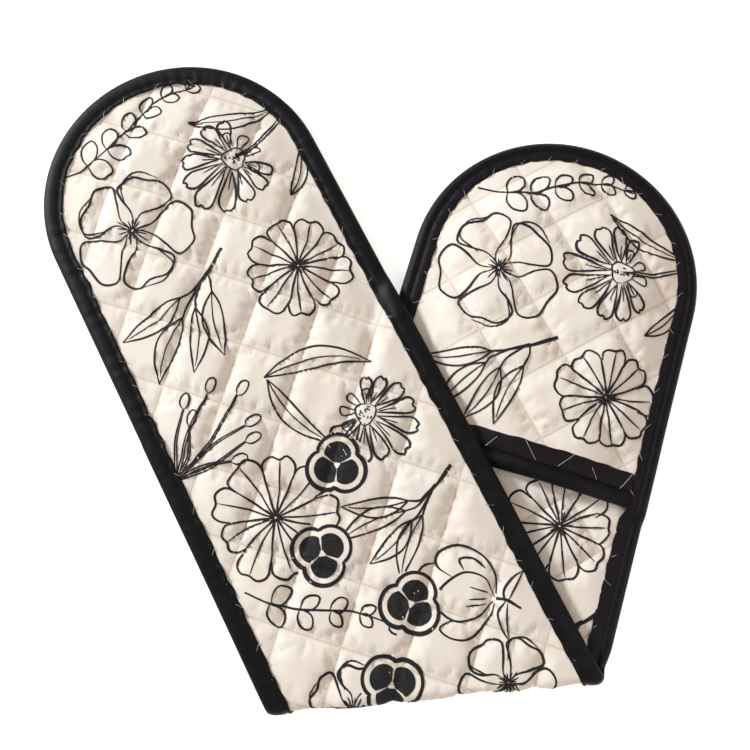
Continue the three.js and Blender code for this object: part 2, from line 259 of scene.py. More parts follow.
def patch_start(i, j):
    """Squares that already bulge a little, each in its own way, with flat seams."""
    bulge = 0.06 * np.abs(np.sin(pi * i) * np.sin(pi * j)) ** 0.6
    bulge *= 1 + 0.3 * np.sin(5.1 * i + 2.3 * j + 1) * np.sin(3.7 * j - 4.1 * i + 2)
    noise = np.random.default_rng(5).normal(0, 0.002, len(i))
    return bulge + noise * (bulge > 0.001)


def blown_patch():
    """Cloth pinned along the seams and blown up from below, so each square puckers."""
    steps = PATCH * PER_SQUARE
    cell = 0.5
    bm = bmesh.new()
    bmesh.ops.create_grid(bm, x_segments=steps, y_segments=steps, size=PATCH * cell / 2)
    mesh = bpy.data.meshes.new("puff")
    bm.to_mesh(mesh)
    bm.free()
    co = vertex_array(mesh)
    grid = np.rint((co[:, :2] / cell + PATCH / 2) * PER_SQUARE).astype(int)
    pinned = (grid % PER_SQUARE == 0).any(axis=1)
    start = patch_start(grid[:, 0] / PER_SQUARE, grid[:, 1] / PER_SQUARE)
    co[:, 2] = np.where(pinned, 0, start * cell)
    mesh.vertices.foreach_set("co", co.ravel())
    co = blow_up(mesh, pinned)
    height = np.zeros((steps + 1, steps + 1))
    height[grid[:, 1], grid[:, 0]] = co[:, 2] / cell
    return height


def blow_up(mesh, pinned):
    cloth = bpy.data.objects.new("puff", mesh)
    bpy.context.scene.collection.objects.link(cloth)
    group = cloth.vertex_groups.new(name="seams")
    group.add([int(i) for i in np.flatnonzero(pinned)], 1.0, "REPLACE")
    modifier = cloth.modifiers.new("Cloth", "CLOTH")
    modifier.collision_settings.use_collision = False
    settings = modifier.settings
    settings.vertex_group_mass = "seams"
    settings.quality = 5
    settings.bending_stiffness = 0.008
    settings.use_pressure = True
    settings.uniform_pressure_force = 1.5
    settings.shrink_min = -0.05
    settings.effector_weights.gravity = 0
    for number in range(1, BLOWN_FRAMES + 1):
        bpy.context.scene.frame_set(number)
    blown = cloth.evaluated_get(bpy.context.evaluated_depsgraph_get()).to_mesh()
    co = vertex_array(blown)
    bpy.data.objects.remove(cloth)
    bpy.context.scene.frame_set(1)
    return co


def vertex_array(mesh):
    co = np.empty(len(mesh.vertices) * 3)
    mesh.vertices.foreach_get("co", co)
    return co.reshape(-1, 3)


def softened(height, reach):
    """Mean over a small window that wraps round."""
    total = sum(np.roll(height, k, axis=0) for k in range(-reach, reach + 1))
    total = sum(np.roll(total, k, axis=1) for k in range(-reach, reach + 1))
    return total / (2 * reach + 1) ** 2


def make_relief():
    """Height of a quilted patch: 0 on the seams, near 1 in the squares, with puckers."""
    height = blown_patch()[:-1, :-1]
    level = clamp01(height / np.quantile(height, 0.98))
    full = 1 - (1 - level) ** 1.6
    puckers = level - softened(level, 3)
    return full + CREASE * puckers * smooth(level, 0.0, 0.35)


RELIEF = make_relief()


def puff(v, s, shift=0):
    a, b = seam_coordinates(v, s)
    count = len(RELIEF)
    x = (a + shift) * PER_SQUARE
    y = (b + 2 * shift) * PER_SQUARE
    i, j = np.floor(x).astype(int), np.floor(y).astype(int)
    fx, fy = x - i, y - j
    near = mix(RELIEF[j % count, i % count], RELIEF[j % count, (i + 1) % count], fx)
    far = mix(RELIEF[(j + 1) % count, i % count], RELIEF[(j + 1) % count, (i + 1) % count], fx)
    return mix(near, far, fy)


def ridge(v, s):
    """Puff between the seams of one family only."""
    a = seam_coordinates(v, s)[0]
    return 1 - np.abs(2 * (a - np.floor(a)) - 1) ** 2.6


# Layer: the face that shows, its side (-1 outer, 1 inner) and its own share of squares.
SHOWN_FACE = {"outer": (0, -1, 0), "lining": (1, 1, 2), "pocket_lining": (0, -1, 4),
              "pocket_cloth": (1, 1, 3)}


def freedom(v, s, layer):
    """1 where nothing lies against a layer, so its squares stand proud, and 0 elsewhere."""
    q = fold_distance(v, s)
    if layer == "outer":
        return smooth(q, -4, 30)
    d = BAND_LENGTH - s
    open_sky = smooth(UPPER.spot(LOWER.plan(d, v))[1], HALF + 2, HALF + 22) * (q < 0)
    if layer == "pocket_cloth":
        return open_sky
    if layer == "lining":
        return open_sky * smooth(d, POCKET_DEPTH + 2, POCKET_DEPTH + 14)
    return 0 * v


def surface(v, s, layer):
    """Depth of a quilted layer's showing face."""
    face, side, shift = SHOWN_FACE[layer]
    full = puff(v, s, shift)
    if layer.startswith("pocket"):
        full = np.maximum(full, 0.72 * ridge(v, s) + 0.3 * (full - 0.6))
    d, _ = arm_spot(v, s)
    distance = edge_distance(d, v)
    if layer.startswith("pocket"):
        distance = np.minimum(distance, POCKET_DEPTH - d - 8)
    free = freedom(v, s, layer)
    amount = mix(PUFF, FREE_PUFF, free) * smooth(distance, 8, 27)
    return depths(v, s, layer, face) - side * amount * (mix(0.93, 0.52, free) - full)


def highest_surface(v, s, layer):
    """The showing face just round a spot at its proudest, for ink to lie on."""
    side = SHOWN_FACE[layer][1]
    around = [(0, 0), (0.8, 0), (-0.8, 0), (0, 0.8), (0, -0.8)]
    return side * np.max([side * surface(v + x, s + y, layer) for x, y in around], axis=0)


# ---------------------------------------------------------------- flat cutting

def to_upper(v, s):
    return v, s


def to_lower(v, d):
    return v, BAND_LENGTH - d


SIDES = {"upper": (UPPER, to_upper), "lower": (LOWER, to_lower)}
BODY = {"upper": "over_arm", "lower": "under_arm"}


def cut(bm, point, direction):
    """Cut away what lies beyond a line on the flat band."""
    bmesh.ops.bisect_plane(
        bm, geom=bm.verts[:] + bm.edges[:] + bm.faces[:], dist=1e-4,
        plane_co=(*point, 0), plane_no=(*direction, 0), clear_outer=True)


FOLD_NORMAL = (sin(FOLD_SLANT), -cos(FOLD_SLANT))


def fold_line_point(q):
    return 0.0, UPPER_REACH + HALF - q / cos(FOLD_SLANT)


def split_at_fold(bm):
    """Upper arm, fold strip and lower arm of a flat sheet."""
    x, y = FOLD_NORMAL
    upper, strip, lower = bm.copy(), bm.copy(), bm
    cut(upper, fold_line_point(FOLD_STRIP), (-x, -y))
    cut(strip, fold_line_point(FOLD_STRIP), (x, y))
    cut(strip, fold_line_point(-FOLD_STRIP), (-x, -y))
    cut(lower, fold_line_point(-FOLD_STRIP), (x, y))
    return upper, strip, lower


def round_off(bm, centre, sign, radius, facets=24):
    for k in range(facets):
        angle = pi * (k + 0.5) / facets
        normal = (cos(angle), sign * sin(angle))
        cut(bm, (radius * normal[0], centre + radius * normal[1]), normal)


def cut_band(per_square, inset):
    """Flat cloth whose threads of the mesh run along the seams: upper, strip, lower."""
    squares = 20
    first = -3
    size = squares * SQUARE / 2
    a = SEAM_A + first * SQUARE + size
    b = SEAM_B + first * SQUARE + size
    turn = Matrix.Rotation(pi / 4, 4, "Z") @ Matrix.Translation((a, b, 0))
    bm = bmesh.new()
    bmesh.ops.create_grid(bm, x_segments=squares * per_square,
                          y_segments=squares * per_square, size=size, matrix=turn)
    half = HALF - inset
    cut(bm, (half, 0), (1, 0))
    cut(bm, (-half, 0), (-1, 0))
    cut(bm, (0, inset), (0, -1))
    cut(bm, (0, BAND_LENGTH - inset), (0, 1))
    upper, strip, lower = split_at_fold(bm)
    round_off(upper, HALF, -1, half)
    round_off(lower, BAND_LENGTH - HALF, 1, half)
    for piece in (upper, strip, lower):
        bmesh.ops.remove_doubles(piece, verts=piece.verts[:], dist=0.08)
    return {"upper": upper, "fold": strip, "lower": lower}


def cut_pocket(bm, arm, inset):
    pocket = bm.copy()
    depth = POCKET_DEPTH - inset
    if arm == "upper":
        cut(pocket, (0, depth), (0, 1))
    else:
        cut(pocket, (0, BAND_LENGTH - depth), (0, -1))
    return pocket


# ---------------------------------------------------------------- making pieces

def join_flat(sheet, ink):
    """Put the ink's strokes on the flat sheet, as its second material."""
    mesh = bpy.data.meshes.new("ink")
    ink.to_mesh(mesh)
    before = len(sheet.faces)
    sheet.from_mesh(mesh)
    bpy.data.meshes.remove(mesh)
    sheet.faces.ensure_lookup_table()
    for face in sheet.faces[before:]:
        face.material_index = 1


def flat_mesh(name, bm):
    mesh = bpy.data.meshes.new(name)
    bm.to_mesh(mesh)
    return mesh


def add_object(name, mesh, materials):
    piece = bpy.data.objects.new(name, mesh)
    bpy.context.scene.collection.objects.link(piece)
    for material in materials:
        mesh.materials.append(material)
    mesh.polygons.foreach_set("use_smooth", np.ones(len(mesh.polygons), bool))
    return piece


def lay_down(mesh, v, s, depth):
    """Move a flat mesh to where the folded band lies."""
    mesh.vertices.foreach_set("co", place(v, s, depth).ravel())


def set_seam_map(mesh, v, s):
    """The cloth's own map: whole numbers on the seams."""
    a, b = seam_coordinates(v, s)
    layer = mesh.uv_layers.new(name="cloth")
    index = np.empty(len(mesh.loops), int)
    mesh.loops.foreach_get("vertex_index", index)
    layer.data.foreach_set("uv", np.column_stack([a, b])[index].ravel())


def give_wall(piece, thickness):
    """A wall behind the showing face, applied."""
    modifier = piece.modifiers.new("wall", "SOLIDIFY")
    modifier.thickness = thickness * MM
    modifier.offset = -1
    solid = bpy.data.meshes.new_from_object(
        piece.evaluated_get(bpy.context.evaluated_depsgraph_get()))
    piece.modifiers.clear()
    old = piece.data
    piece.data = solid
    name = old.name
    bpy.data.meshes.remove(old)
    solid.name = name
    solid.set_sharp_from_angle(angle=radians(70))


def carry(piece, arm, slot_name, *nodes):
    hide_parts(*nodes)
    if arm == "fold":
        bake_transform(piece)
    else:
        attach(piece, BODY[arm])


def make_cloth(name, node, flat, arm, layer, materials, slot_name, ink=None):
    bm = flat.copy()
    if ink is not None:
        join_flat(bm, ink)
    side = SHOWN_FACE[layer][1]
    if side < 0:
        bmesh.ops.reverse_faces(bm, faces=bm.faces[:])
    mesh = flat_mesh(name, bm)
    bm.free()
    v, s, lift = vertex_array(mesh).T
    set_seam_map(mesh, v, s)
    depth = np.where(lift > 0.5, highest_surface(v, s, layer) + side * INK_RISE,
                     surface(v, s, layer))
    lay_down(mesh, v, s, depth)
    piece = add_object(name, mesh, materials)
    give_wall(piece, CLOTH_WALL)
    carry(piece, arm, slot_name, node)
    return piece


def make_wadding(name, node, flat, arm, near, far, material):
    """Soft filling between two quilted cloths, nipped at the seams."""
    bm = flat.copy()
    shell = bmesh.ops.extrude_face_region(bm, geom=bm.faces[:])
    top = [e for e in shell["geom"] if isinstance(e, bmesh.types.BMVert)]
    bmesh.ops.translate(bm, vec=(0, 0, 1), verts=top)
    bmesh.ops.recalc_face_normals(bm, faces=bm.faces[:])
    mesh = flat_mesh(name, bm)
    bm.free()
    v, s, up = vertex_array(mesh).T
    low = surface(v, s, near) + CLOTH_WALL + FILLING_GAP
    high = surface(v, s, far) - CLOTH_WALL - FILLING_GAP
    thin = high - low < THINNEST_FILLING
    middle = (low + high) / 2
    low = np.where(thin, middle - THINNEST_FILLING / 2, low)
    high = np.where(thin, middle + THINNEST_FILLING / 2, high)
    lay_down(mesh, v, s, mix(low, high, up))
    piece = add_object(name, mesh, [material])
    carry(piece, arm, "wadding", node)
    return piece


# ---------------------------------------------------------------- binding tape

# Across the edge tape, from its inner edge on the outer face, round the rim, to its inner
# edge on the pocket face: inset from the band's edge, and height over the cloth.
TAPE_OUTER = [(12.7, 0.56), (12.3, 1.0), (11.3, 1.15), (10.2, 0.58), (9.0, 1.1), (6.8, 1.5),
              (4.4, 1.55), (2.6, 1.25), (1.3, 0.8)]
TAPE_INNER = [(0.9, 0.75), (1.9, 1.4), (3.4, 1.9), (4.9, 1.7), (6.0, 1.0), (6.7, 0.58),
              (7.5, 0.9), (9.0, 1.25), (10.8, 1.2), (12.4, 0.85), (13.2, 0.56)]
RIM = [(0.35, 0.1), (-0.15, 0.3), (-0.3, 0.5), (-0.15, 0.7), (0.3, 0.9)]
WIDER = 1.12


def edge_loop(step=2.0):
    """Round the band's edge: spot and outward direction, at even steps."""
    straight = BAND_LENGTH - 2 * HALF
    total = 2 * straight + 2 * pi * HALF
    count = int(total / step)
    spots = []
    for k in range(count + 1):
        run = total * k / count
        if run < straight:
            spots.append((HALF, HALF + run, 1, 0, run))
        elif run < straight + pi * HALF:
            angle = (run - straight) / HALF
            spots.append((HALF * cos(angle), BAND_LENGTH - HALF + HALF * sin(angle),
                          cos(angle), sin(angle), run))
        elif run < 2 * straight + pi * HALF:
            spots.append((-HALF, BAND_LENGTH - HALF - (run - straight - pi * HALF), -1, 0, run))
        else:
            angle = pi + (run - 2 * straight - pi * HALF) / HALF
            spots.append((HALF * cos(angle), HALF + HALF * sin(angle),
                          cos(angle), sin(angle), run))
    return np.array(spots).T, total


def waves(run, total, seed, scale):
    """Slow hand-sewn wander that closes on itself."""
    rng = np.random.default_rng(seed)
    value = np.zeros_like(run)
    for turns in rng.integers(int(total / 60), int(total / 9), 9):
        value += rng.uniform(0.3, 1) * np.sin(2 * pi * turns * run / total + rng.uniform(0, 6.3))
    return scale * value / 2


def stack_far(v, s):
    """Depth of the last cloth that the edge tape holds: the pocket's, or the lining."""
    d, _ = arm_spot(v, s)
    held = np.minimum(d, POCKET_DEPTH - CLOTH_INSET)
    over = fold_distance(v, s) > 0
    at = np.where(over, held, BAND_LENGTH - held)
    pocket = depths(v, at, "pocket_cloth", 1)
    return mix(pocket, depths(v, s, "lining", 1), smooth(d, POCKET_DEPTH + 1, POCKET_DEPTH + 9))


def tape_grid(columns, rows):
    """Strip of tape as a grid, with the column and row of each vertex."""
    bm = bmesh.new()
    bmesh.ops.create_grid(bm, x_segments=columns - 1, y_segments=rows - 1, size=1)
    index = np.array([(round((w.co.x + 1) / 2 * (columns - 1)),
                       round((w.co.y + 1) / 2 * (rows - 1))) for w in bm.verts])
    return bm, index[:, 0], index[:, 1]


def lay_tape(bm, i, j, points, along, across):
    """points[i, j] are flat places (v, s, depth)."""
    mapped = bm.loops.layers.uv.new("cloth")
    for vert, a, b in zip(bm.verts, i, j):
        vert.co = points[a, b]
        for loop in vert.link_loops:
            loop[mapped].uv = (along[a], across[b])


def edge_tape_flat():
    (v, s, out_v, out_s, run), total = edge_loop()
    wander = waves(run, total, 11, 0.34)
    pucker = waves(run, total, 12, 0.15)
    drift = waves(run, total, 13, 1.6)
    pucker = pucker + 0.17 * np.sin(2 * pi * round(total / 7.4) * run / total + drift)
    d, _ = arm_spot(v, s)
    wide = mix(1.0, WIDER, smooth(d, POCKET_DEPTH, POCKET_DEPTH + 12))
    rows = []
    for inset, height in TAPE_OUTER:
        inner = smooth(inset, 5, 12)
        w = inset + wander * inner
        at_v, at_s = v - out_v * w, s - out_s * w
        near = TAPE_ROOM + 0 * v
        rows.append((at_v, at_s, near - height - pucker * (0.5 + inner) * (inset > 2)))
    for inset, share in RIM:
        at_v, at_s = v - out_v * inset, s - out_s * inset
        hold_v, hold_s = v - out_v * 1.2, s - out_s * 1.2
        near, far = TAPE_ROOM - 0.75, stack_far(hold_v, hold_s) + 0.75
        rows.append((at_v, at_s, mix(near, far, share)))
    for inset, height in TAPE_INNER:
        inner = smooth(inset, 5, 12)
        w = inset * mix(1, wide, inner) - wander * inner
        at_v, at_s = v - out_v * w, s - out_s * w
        rise = height + pucker * (0.6 + inner) * (inset > 1.5)
        rows.append((at_v, at_s, stack_far(at_v, at_s) + rise))
    points = np.array(rows).transpose(2, 0, 1)
    points[-1] = points[0]
    bm, i, j = tape_grid(points.shape[0], points.shape[1])
    across = np.linspace(0, 36, points.shape[1])
    lay_tape(bm, i, j, points, run, across)
    bmesh.ops.remove_doubles(bm, verts=bm.verts[:], dist=1e-3)
    return bm


MOUTH_SHOWN = [(0.8, 0.7), (1.7, 1.7), (3.4, 2.5), (5.4, 2.6), (7.4, 2.0), (8.7, 1.0),
               (9.3, 0.52), (10.0, 1.3), (11.2, 1.75), (14.0, 1.5), (17.6, 1.15),
               (19.8, 0.85), (20.6, 0.56)]
MOUTH_HAND = [(20.4, 0.52), (19.5, 0.7), (14.0, 0.75), (8.0, 0.75), (3.0, 0.72), (0.9, 0.6)]
MOUTH_RIM = [(0.2, 0.15), (-0.2, 0.5), (0.2, 0.85)]


def mouth_tape_flat(arm_name):
    arm, to_band = SIDES[arm_name]
    stop = HALF - EDGE_TAPE - 0.5
    v = np.linspace(-stop, stop, 75)
    wander = waves(v + stop, 2 * stop, 21, 0.22)
    pucker = waves(v + stop, 2 * stop, 22, 0.1)

    def faces(w):
        d = np.minimum(POCKET_DEPTH - w, POCKET_DEPTH - CLOTH_INSET) + 0 * v
        held = layers(arm, d, v)
        return held["pocket_lining"][0], held["pocket_cloth"][1]

    rows = []
    for w, height in MOUTH_HAND:
        rows.append((POCKET_DEPTH - w + 0 * v, faces(w)[0] - height))
    for w, share in MOUTH_RIM:
        near, far = faces(1.2)
        rows.append((POCKET_DEPTH - w + 0 * v, mix(near - 0.5, far + 0.5, share)))
    for w, height in MOUTH_SHOWN:
        edge = wander * smooth(w, 6, 20) + 0.25 * wander
        rows.append((POCKET_DEPTH - w + edge, faces(w)[1] + height + pucker * (w > 1)))
    points = np.array([np.stack([*to_band(v, d), depth]) for d, depth in rows])
    points = points.transpose(2, 0, 1)
    bm, i, j = tape_grid(points.shape[0], points.shape[1])
    lay_tape(bm, i, j, points, v, np.linspace(0, 44, points.shape[1]))
    if arm_name == "upper":
        bmesh.ops.reverse_faces(bm, faces=bm.faces[:])
    return bm


def make_tape(name, node, bm, arm, material):
    mesh = flat_mesh(name, bm)
    bm.free()
    lay_down(mesh, *vertex_array(mesh).T)
    piece = add_object(name, mesh, [material])
    give_wall(piece, TAPE_WALL)
    carry(piece, arm, "tape", node)
    return piece


def half_of(bm, sign):
    """The part of a fold strip's tape on one side of the band."""
    part = bm.copy()
    cut(part, (0, 0), (-sign, 0))
    return part


def rod(bm, v, s, depth, turn, length, radius=0.16):
    """One float of clear thread, in short lengths so that it can follow the tape."""
    start = len(bm.verts)
    made = bmesh.ops.create_cone(bm, cap_ends=True, segments=5, radius1=radius,
                                 radius2=0.8 * radius, depth=length)["verts"]
    long_edges = {e for w in made for e in w.link_edges if e.calc_length() > 1.5}
    bmesh.ops.subdivide_edges(bm, edges=list(long_edges), cuts=4)
    bm.verts.ensure_lookup_table()
    made = bm.verts[start:]
    bmesh.ops.rotate(bm, verts=made, cent=(0, 0, 0), matrix=Matrix.Rotation(pi / 2, 3, "Y"))
    bmesh.ops.rotate(bm, verts=made, cent=(0, 0, 0), matrix=Matrix.Rotation(turn, 3, "Z"))
    bmesh.ops.translate(bm, verts=made, vec=(v, s, depth))
    return made


def edge_thread_flat(side):
    """Floats of clear thread along the tape's inner edge on one face."""
    (v, s, out_v, out_s, _), total = edge_loop(1.0)
    rng = np.random.default_rng(31 if side < 0 else 32)
    bm = bmesh.new()
    at = 6.0
    while at < total - 8:
        k = int(at / total * (len(v) - 1))
        inset = 11.9 if side < 0 else 12.2
        spot_v, spot_s = v[k] - out_v[k] * inset, s[k] - out_s[k] * inset
        if side < 0:
            depth = TAPE_ROOM - 1.12
        else:
            depth = float(stack_far(np.array([spot_v]), np.array([spot_s]))[0]) + 1.18
        heading = atan2(out_s[k], out_v[k]) + rng.choice([-1, 1]) * rng.uniform(0.5, 1.0)
        rod(bm, spot_v, spot_s, depth, heading, rng.uniform(3.2, 6.0))
        at += rng.uniform(16, 27)
    return bm


def mouth_thread_flat(arm_name):
    arm, to_band = SIDES[arm_name]
    rng = np.random.default_rng(33)
    bm = bmesh.new()
    heights = np.array(MOUTH_SHOWN)
    for k, v in enumerate(np.arange(-68, 74, 20.0)):
        d = POCKET_DEPTH - 15.6 + rng.uniform(-0.6, 0.6)
        held = layers(arm, np.array([d]), np.array([v]))["pocket_cloth"][1][0]
        turn = (1 if k % 2 else -1) * rng.uniform(0.85, 1.15)
        for vert in rod(bm, *to_band(v + rng.uniform(-2, 2), d), held + 0.3, turn,
                        rng.uniform(11.5, 15), 0.2):
            w = POCKET_DEPTH - arm_spot(vert.co.x, vert.co.y)[0]
            vert.co.z += np.interp(w, heights[:, 0], heights[:, 1])
    return bm


def make_thread(name, bm, arm, material):
    bmesh.ops.recalc_face_normals(bm, faces=bm.faces[:])
    mesh = flat_mesh(name, bm)
    bm.free()
    lay_down(mesh, *vertex_array(mesh).T)
    piece = add_object(name, mesh, [material])
    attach(piece, BODY[arm])
    return piece


# ---------------------------------------------------------------- the printed drawing

def curve_through(points, step=1.7):
    """Even steps along a smooth curve through the points."""
    p = np.asarray(points, float)
    p = np.vstack([2 * p[0] - p[1], p, 2 * p[-1] - p[-2]])
    t = np.linspace(0, 1, 9)[:-1, None]
    parts = []
    for a, b, c, d in zip(p, p[1:], p[2:], p[3:]):
        parts.append(0.5 * (2 * b + (c - a) * t + (2 * a - 5 * b + 4 * c - d) * t ** 2
                            + (3 * b - a - 3 * c + d) * t ** 3))
    path = np.vstack(parts + [p[-2][None]])
    run = np.concatenate([[0], np.cumsum(np.hypot(*np.diff(path, axis=0).T))])
    count = max(3, int(run[-1] / step) + 1)
    even = np.linspace(0, run[-1], count)
    return np.column_stack([np.interp(even, run, path[:, k]) for k in (0, 1)])


class Ink:
    """Strokes of ink on one face of the flat band."""

    def __init__(self, to_band, seed):
        self.bm = bmesh.new()
        self.to_band = to_band
        self.rng = np.random.default_rng(seed)
        self.bare = []

    def is_bare(self, path):
        """Where a stroke would cross the room that is kept for the bold blooms."""
        hit = np.zeros(len(path), bool)
        for x, y in self.bare:
            hit |= np.hypot(path[:, 0] - x, path[:, 1] - y) < BOLD_ROOM
        return hit

    def fill(self, left, right, rows=1):
        """Ink between two edges drawn point by point."""
        count = len(left)
        grid = bmesh.ops.create_grid(self.bm, x_segments=count - 1, y_segments=rows, size=1)
        for vert in grid["verts"]:
            i = round((vert.co.x + 1) / 2 * (count - 1))
            x, y = mix(left[i], right[i], (vert.co.y + 1) / 2)
            vert.co = (*self.to_band(x, y), 1)

    def stroke(self, points, width=INK, ends=(0.35, 0.35), over=False):
        path = curve_through(points)
        side = np.gradient(path, axis=0)
        side /= np.hypot(*side.T)[:, None] + 1e-9
        side = np.column_stack([-side[:, 1], side[:, 0]])
        share = np.linspace(0, 1, len(path))
        press = np.minimum(mix(ends[0], 1, clamp01(share / 0.18)),
                           mix(ends[1], 1, clamp01((1 - share) / 0.18)))
        swell = np.sin(share * self.rng.uniform(5, 11) + self.rng.uniform(0, 6))
        press = press * (1 + 0.16 * swell)
        half = (width / 2 * press)[:, None] * side
        bare = np.zeros(len(path), bool) if over else self.is_bare(path)
        start = 0
        for k in range(len(path) + 1):
            if k == len(path) or bare[k]:
                if k - start > 2:
                    self.fill((path - half)[start:k], (path + half)[start:k])
                start = k + 1

    def done(self):
        for face in self.bm.faces:
            if face.normal.z < 0:
                face.normal_flip()
        return self.bm


class Pen:
    """Draws on an Ink from its own place, turn and size."""

    def __init__(self, ink, x, y, turn=0.0, size=1.0):
        self.ink, self.x, self.y, self.size = ink, x, y, size
        self.c, self.s = cos(radians(turn)), sin(radians(turn))

    def spot(self, points, shake=0.3):
        p = np.asarray(points, float) * self.size
        p = p + self.ink.rng.normal(0, shake, p.shape)
        return np.column_stack([self.x + p[:, 0] * self.c - p[:, 1] * self.s,
                                self.y + p[:, 0] * self.s + p[:, 1] * self.c])

    def line(self, points, width=INK, ends=(0.35, 0.35), shake=0.3, over=False):
        self.ink.stroke(self.spot(points, shake), width, ends, over)

    def polar(self, pairs, width=INK, ends=(0.35, 0.35), shake=0.3):
        """Points as (distance, degrees)."""
        self.line([(r * cos(radians(a)), r * sin(radians(a))) for r, a in pairs],
                  width, ends, shake)


def broad_petal(pen, angle, reach, spread=30):
    """Rounded petal of an open flower."""
    shape = [(0.1, -0.1), (0.34, -0.45), (0.62, -0.88), (0.88, -0.9), (1.0, -0.42), (0.96, 0.08),
             (1.02, 0.5), (0.9, 0.96), (0.6, 0.9), (0.32, 0.45), (0.1, 0.1)]
    pen.polar([(r * reach, angle + a * spread) for r, a in shape], shake=0.5)


def five_petal(ink, x, y, size, turn=0):
    pen = Pen(ink, x, y, turn)
    for k, reach in enumerate([1.0, 0.93, 1.0, 0.96, 0.92]):
        broad_petal(pen, 72 * k, size * reach, 35)
    for k in (1, 3, 4):
        start = 72 * k - 29
        pen.polar([(0.45 * size, start), (0.86 * size, start + 2), (1.0 * size, start + 20),
                   (0.96 * size, start + 40)], 0.9)
    for k in range(17):
        angle = 360 / 17 * k + ink.rng.uniform(-6, 6)
        reach = size * ink.rng.uniform(0.14, 0.3)
        pen.polar([(0.02 * size, angle), (reach * 0.6, angle + 3), (reach, angle)],
                  0.85, (1, 0.3), 0.1)


def cosmos(ink, x, y, size, turn=0, petals=9):
    pen = Pen(ink, x, y, turn)
    step = 360 / petals
    for k in range(petals):
        a = step * k + ink.rng.uniform(-3, 3)
        b = step * (k + 1)
        reach = size * ink.rng.uniform(0.92, 1.03)
        pen.polar([(0.04 * size, a), (0.4 * size, a + 1), (0.74 * size, a)], 1.2, (1.0, 0.5), 0.25)
        pen.polar([(0.66 * size, a), (0.88 * reach, a + 0.06 * step),
                   (0.98 * reach, a + 0.27 * step), (0.95 * reach, a + 0.5 * step),
                   (1.0 * reach, a + 0.7 * step), (0.9 * reach, b - 0.06 * step),
                   (0.68 * size, b)], shake=0.4)
        middle = a + 0.52 * step
        pen.polar([(0.1 * size, middle), (0.5 * reach, middle + 2), (0.93 * reach, middle)],
                  0.95, (0.9, 0.3), 0.3)
    for k in range(15):
        angle = 360 / 15 * k + ink.rng.uniform(-7, 7)
        reach = size * ink.rng.uniform(0.1, 0.27)
        pen.polar([(0.02 * size, angle), (0.55 * reach, angle + 4), (reach, angle)],
                  0.95, (1, 0.3), 0.1)


def narrow_petal(pen, angle, start, reach, half):
    edge = [(0.55, -0.95), (0.88, -1.0), (1.0, -0.35), (0.96, 0.0), (1.01, 0.4), (0.86, 1.0),
            (0.55, 0.9)]
    pen.polar([(start, angle)] + [(r * reach, angle + a * half) for r, a in edge]
              + [(start, angle + 2)], shake=0.3)


def daisy(ink, x, y, size, turn=0, spread=250, petals=11, stem=None):
    """Daisy seen from the side: petals fan out from a small eye."""
    pen = Pen(ink, x, y, turn)
    for k in range(petals):
        angle = 90 - spread / 2 + spread * k / (petals - 1)
        lean = abs(angle - 90) / (spread / 2)
        reach = size * mix(1.02, 0.72, lean) * ink.rng.uniform(0.93, 1.05)
        narrow_petal(pen, angle, 0.2 * size, reach, 0.44 * spread / petals)
        pen.polar([(0.26 * size, angle), (0.62 * reach, angle + 1)], 0.7, (0.9, 0.2), 0.2)
    for k in range(4):
        angle = 205 + 42 * k
        pen.polar([(0.18 * size, angle), (0.42 * size, angle - 8), (0.46 * size, angle + 10),
                   (0.2 * size, angle + 14)], 0.95)
    ring = [(0.19 * size * (1 + 0.12 * sin(3 * a)), a * 57.3) for a in np.linspace(0, 6.3, 12)]
    pen.polar(ring, 0.9)
    for k in range(12):
        a, r = ink.rng.uniform(0, 360), ink.rng.uniform(0.02, 0.14) * size
        pen.polar([(r, a), (r + 0.9, a + 25)], 0.9, (0.8, 0.8), 0.1)
    if stem is not None:
        for offset in (-1.1, 1.1):
            ink.stroke([(x + offset, y), ((x + stem[0]) / 2, (y + stem[1]) / 2 + 3 + offset),
                        (stem[0], stem[1] + offset)], 1.0)


def leaf(ink, base, tip, width, bend=0.12, vein=True):
    """Long pointed leaf from base to tip."""
    base, tip = np.array(base, float), np.array(tip, float)
    along = tip - base
    length = hypot(*along)
    across = np.array([-along[1], along[0]]) / length
    shares = [0, 0.2, 0.45, 0.7, 0.9, 1.0]
    full = [0, 0.72, 1.0, 0.72, 0.26, 0.0]
    curve = [bend * length * sin(pi * k) for k in shares]
    for sign in (-1, 1):
        ink.stroke([base + along * k + across * (c + sign * f * width / 2)
                    for k, f, c in zip(shares, full, curve)], 1.1, (0.9, 0.4))
    if vein:
        ink.stroke([base + along * k + across * (c * 0.9) for k, c in zip(shares[:5], curve)],
                   0.75, (1, 0.3))


def sprig(ink, top, leaves, width=12.0):
    """Stem with long leaves that hang to one side: each leaf is its start and its tip."""
    top = np.array(top, float)
    root = np.array(leaves[0][0], float)
    ink.stroke([top, (top + root) / 2 + (0.8, 0.8), root], 2.0, (1, 0.7))
    for k, (start, tip) in enumerate(leaves):
        start, tip = np.array(start, float), np.array(tip, float)
        neck = mix(start, tip, 0.16)
        ink.stroke([mix(top, root, 0.55), start, neck], 1.2, (0.8, 0.9))
        leaf(ink, neck, tip, width * ink.rng.uniform(0.88, 1.1), 0.07 if k % 2 else -0.07)


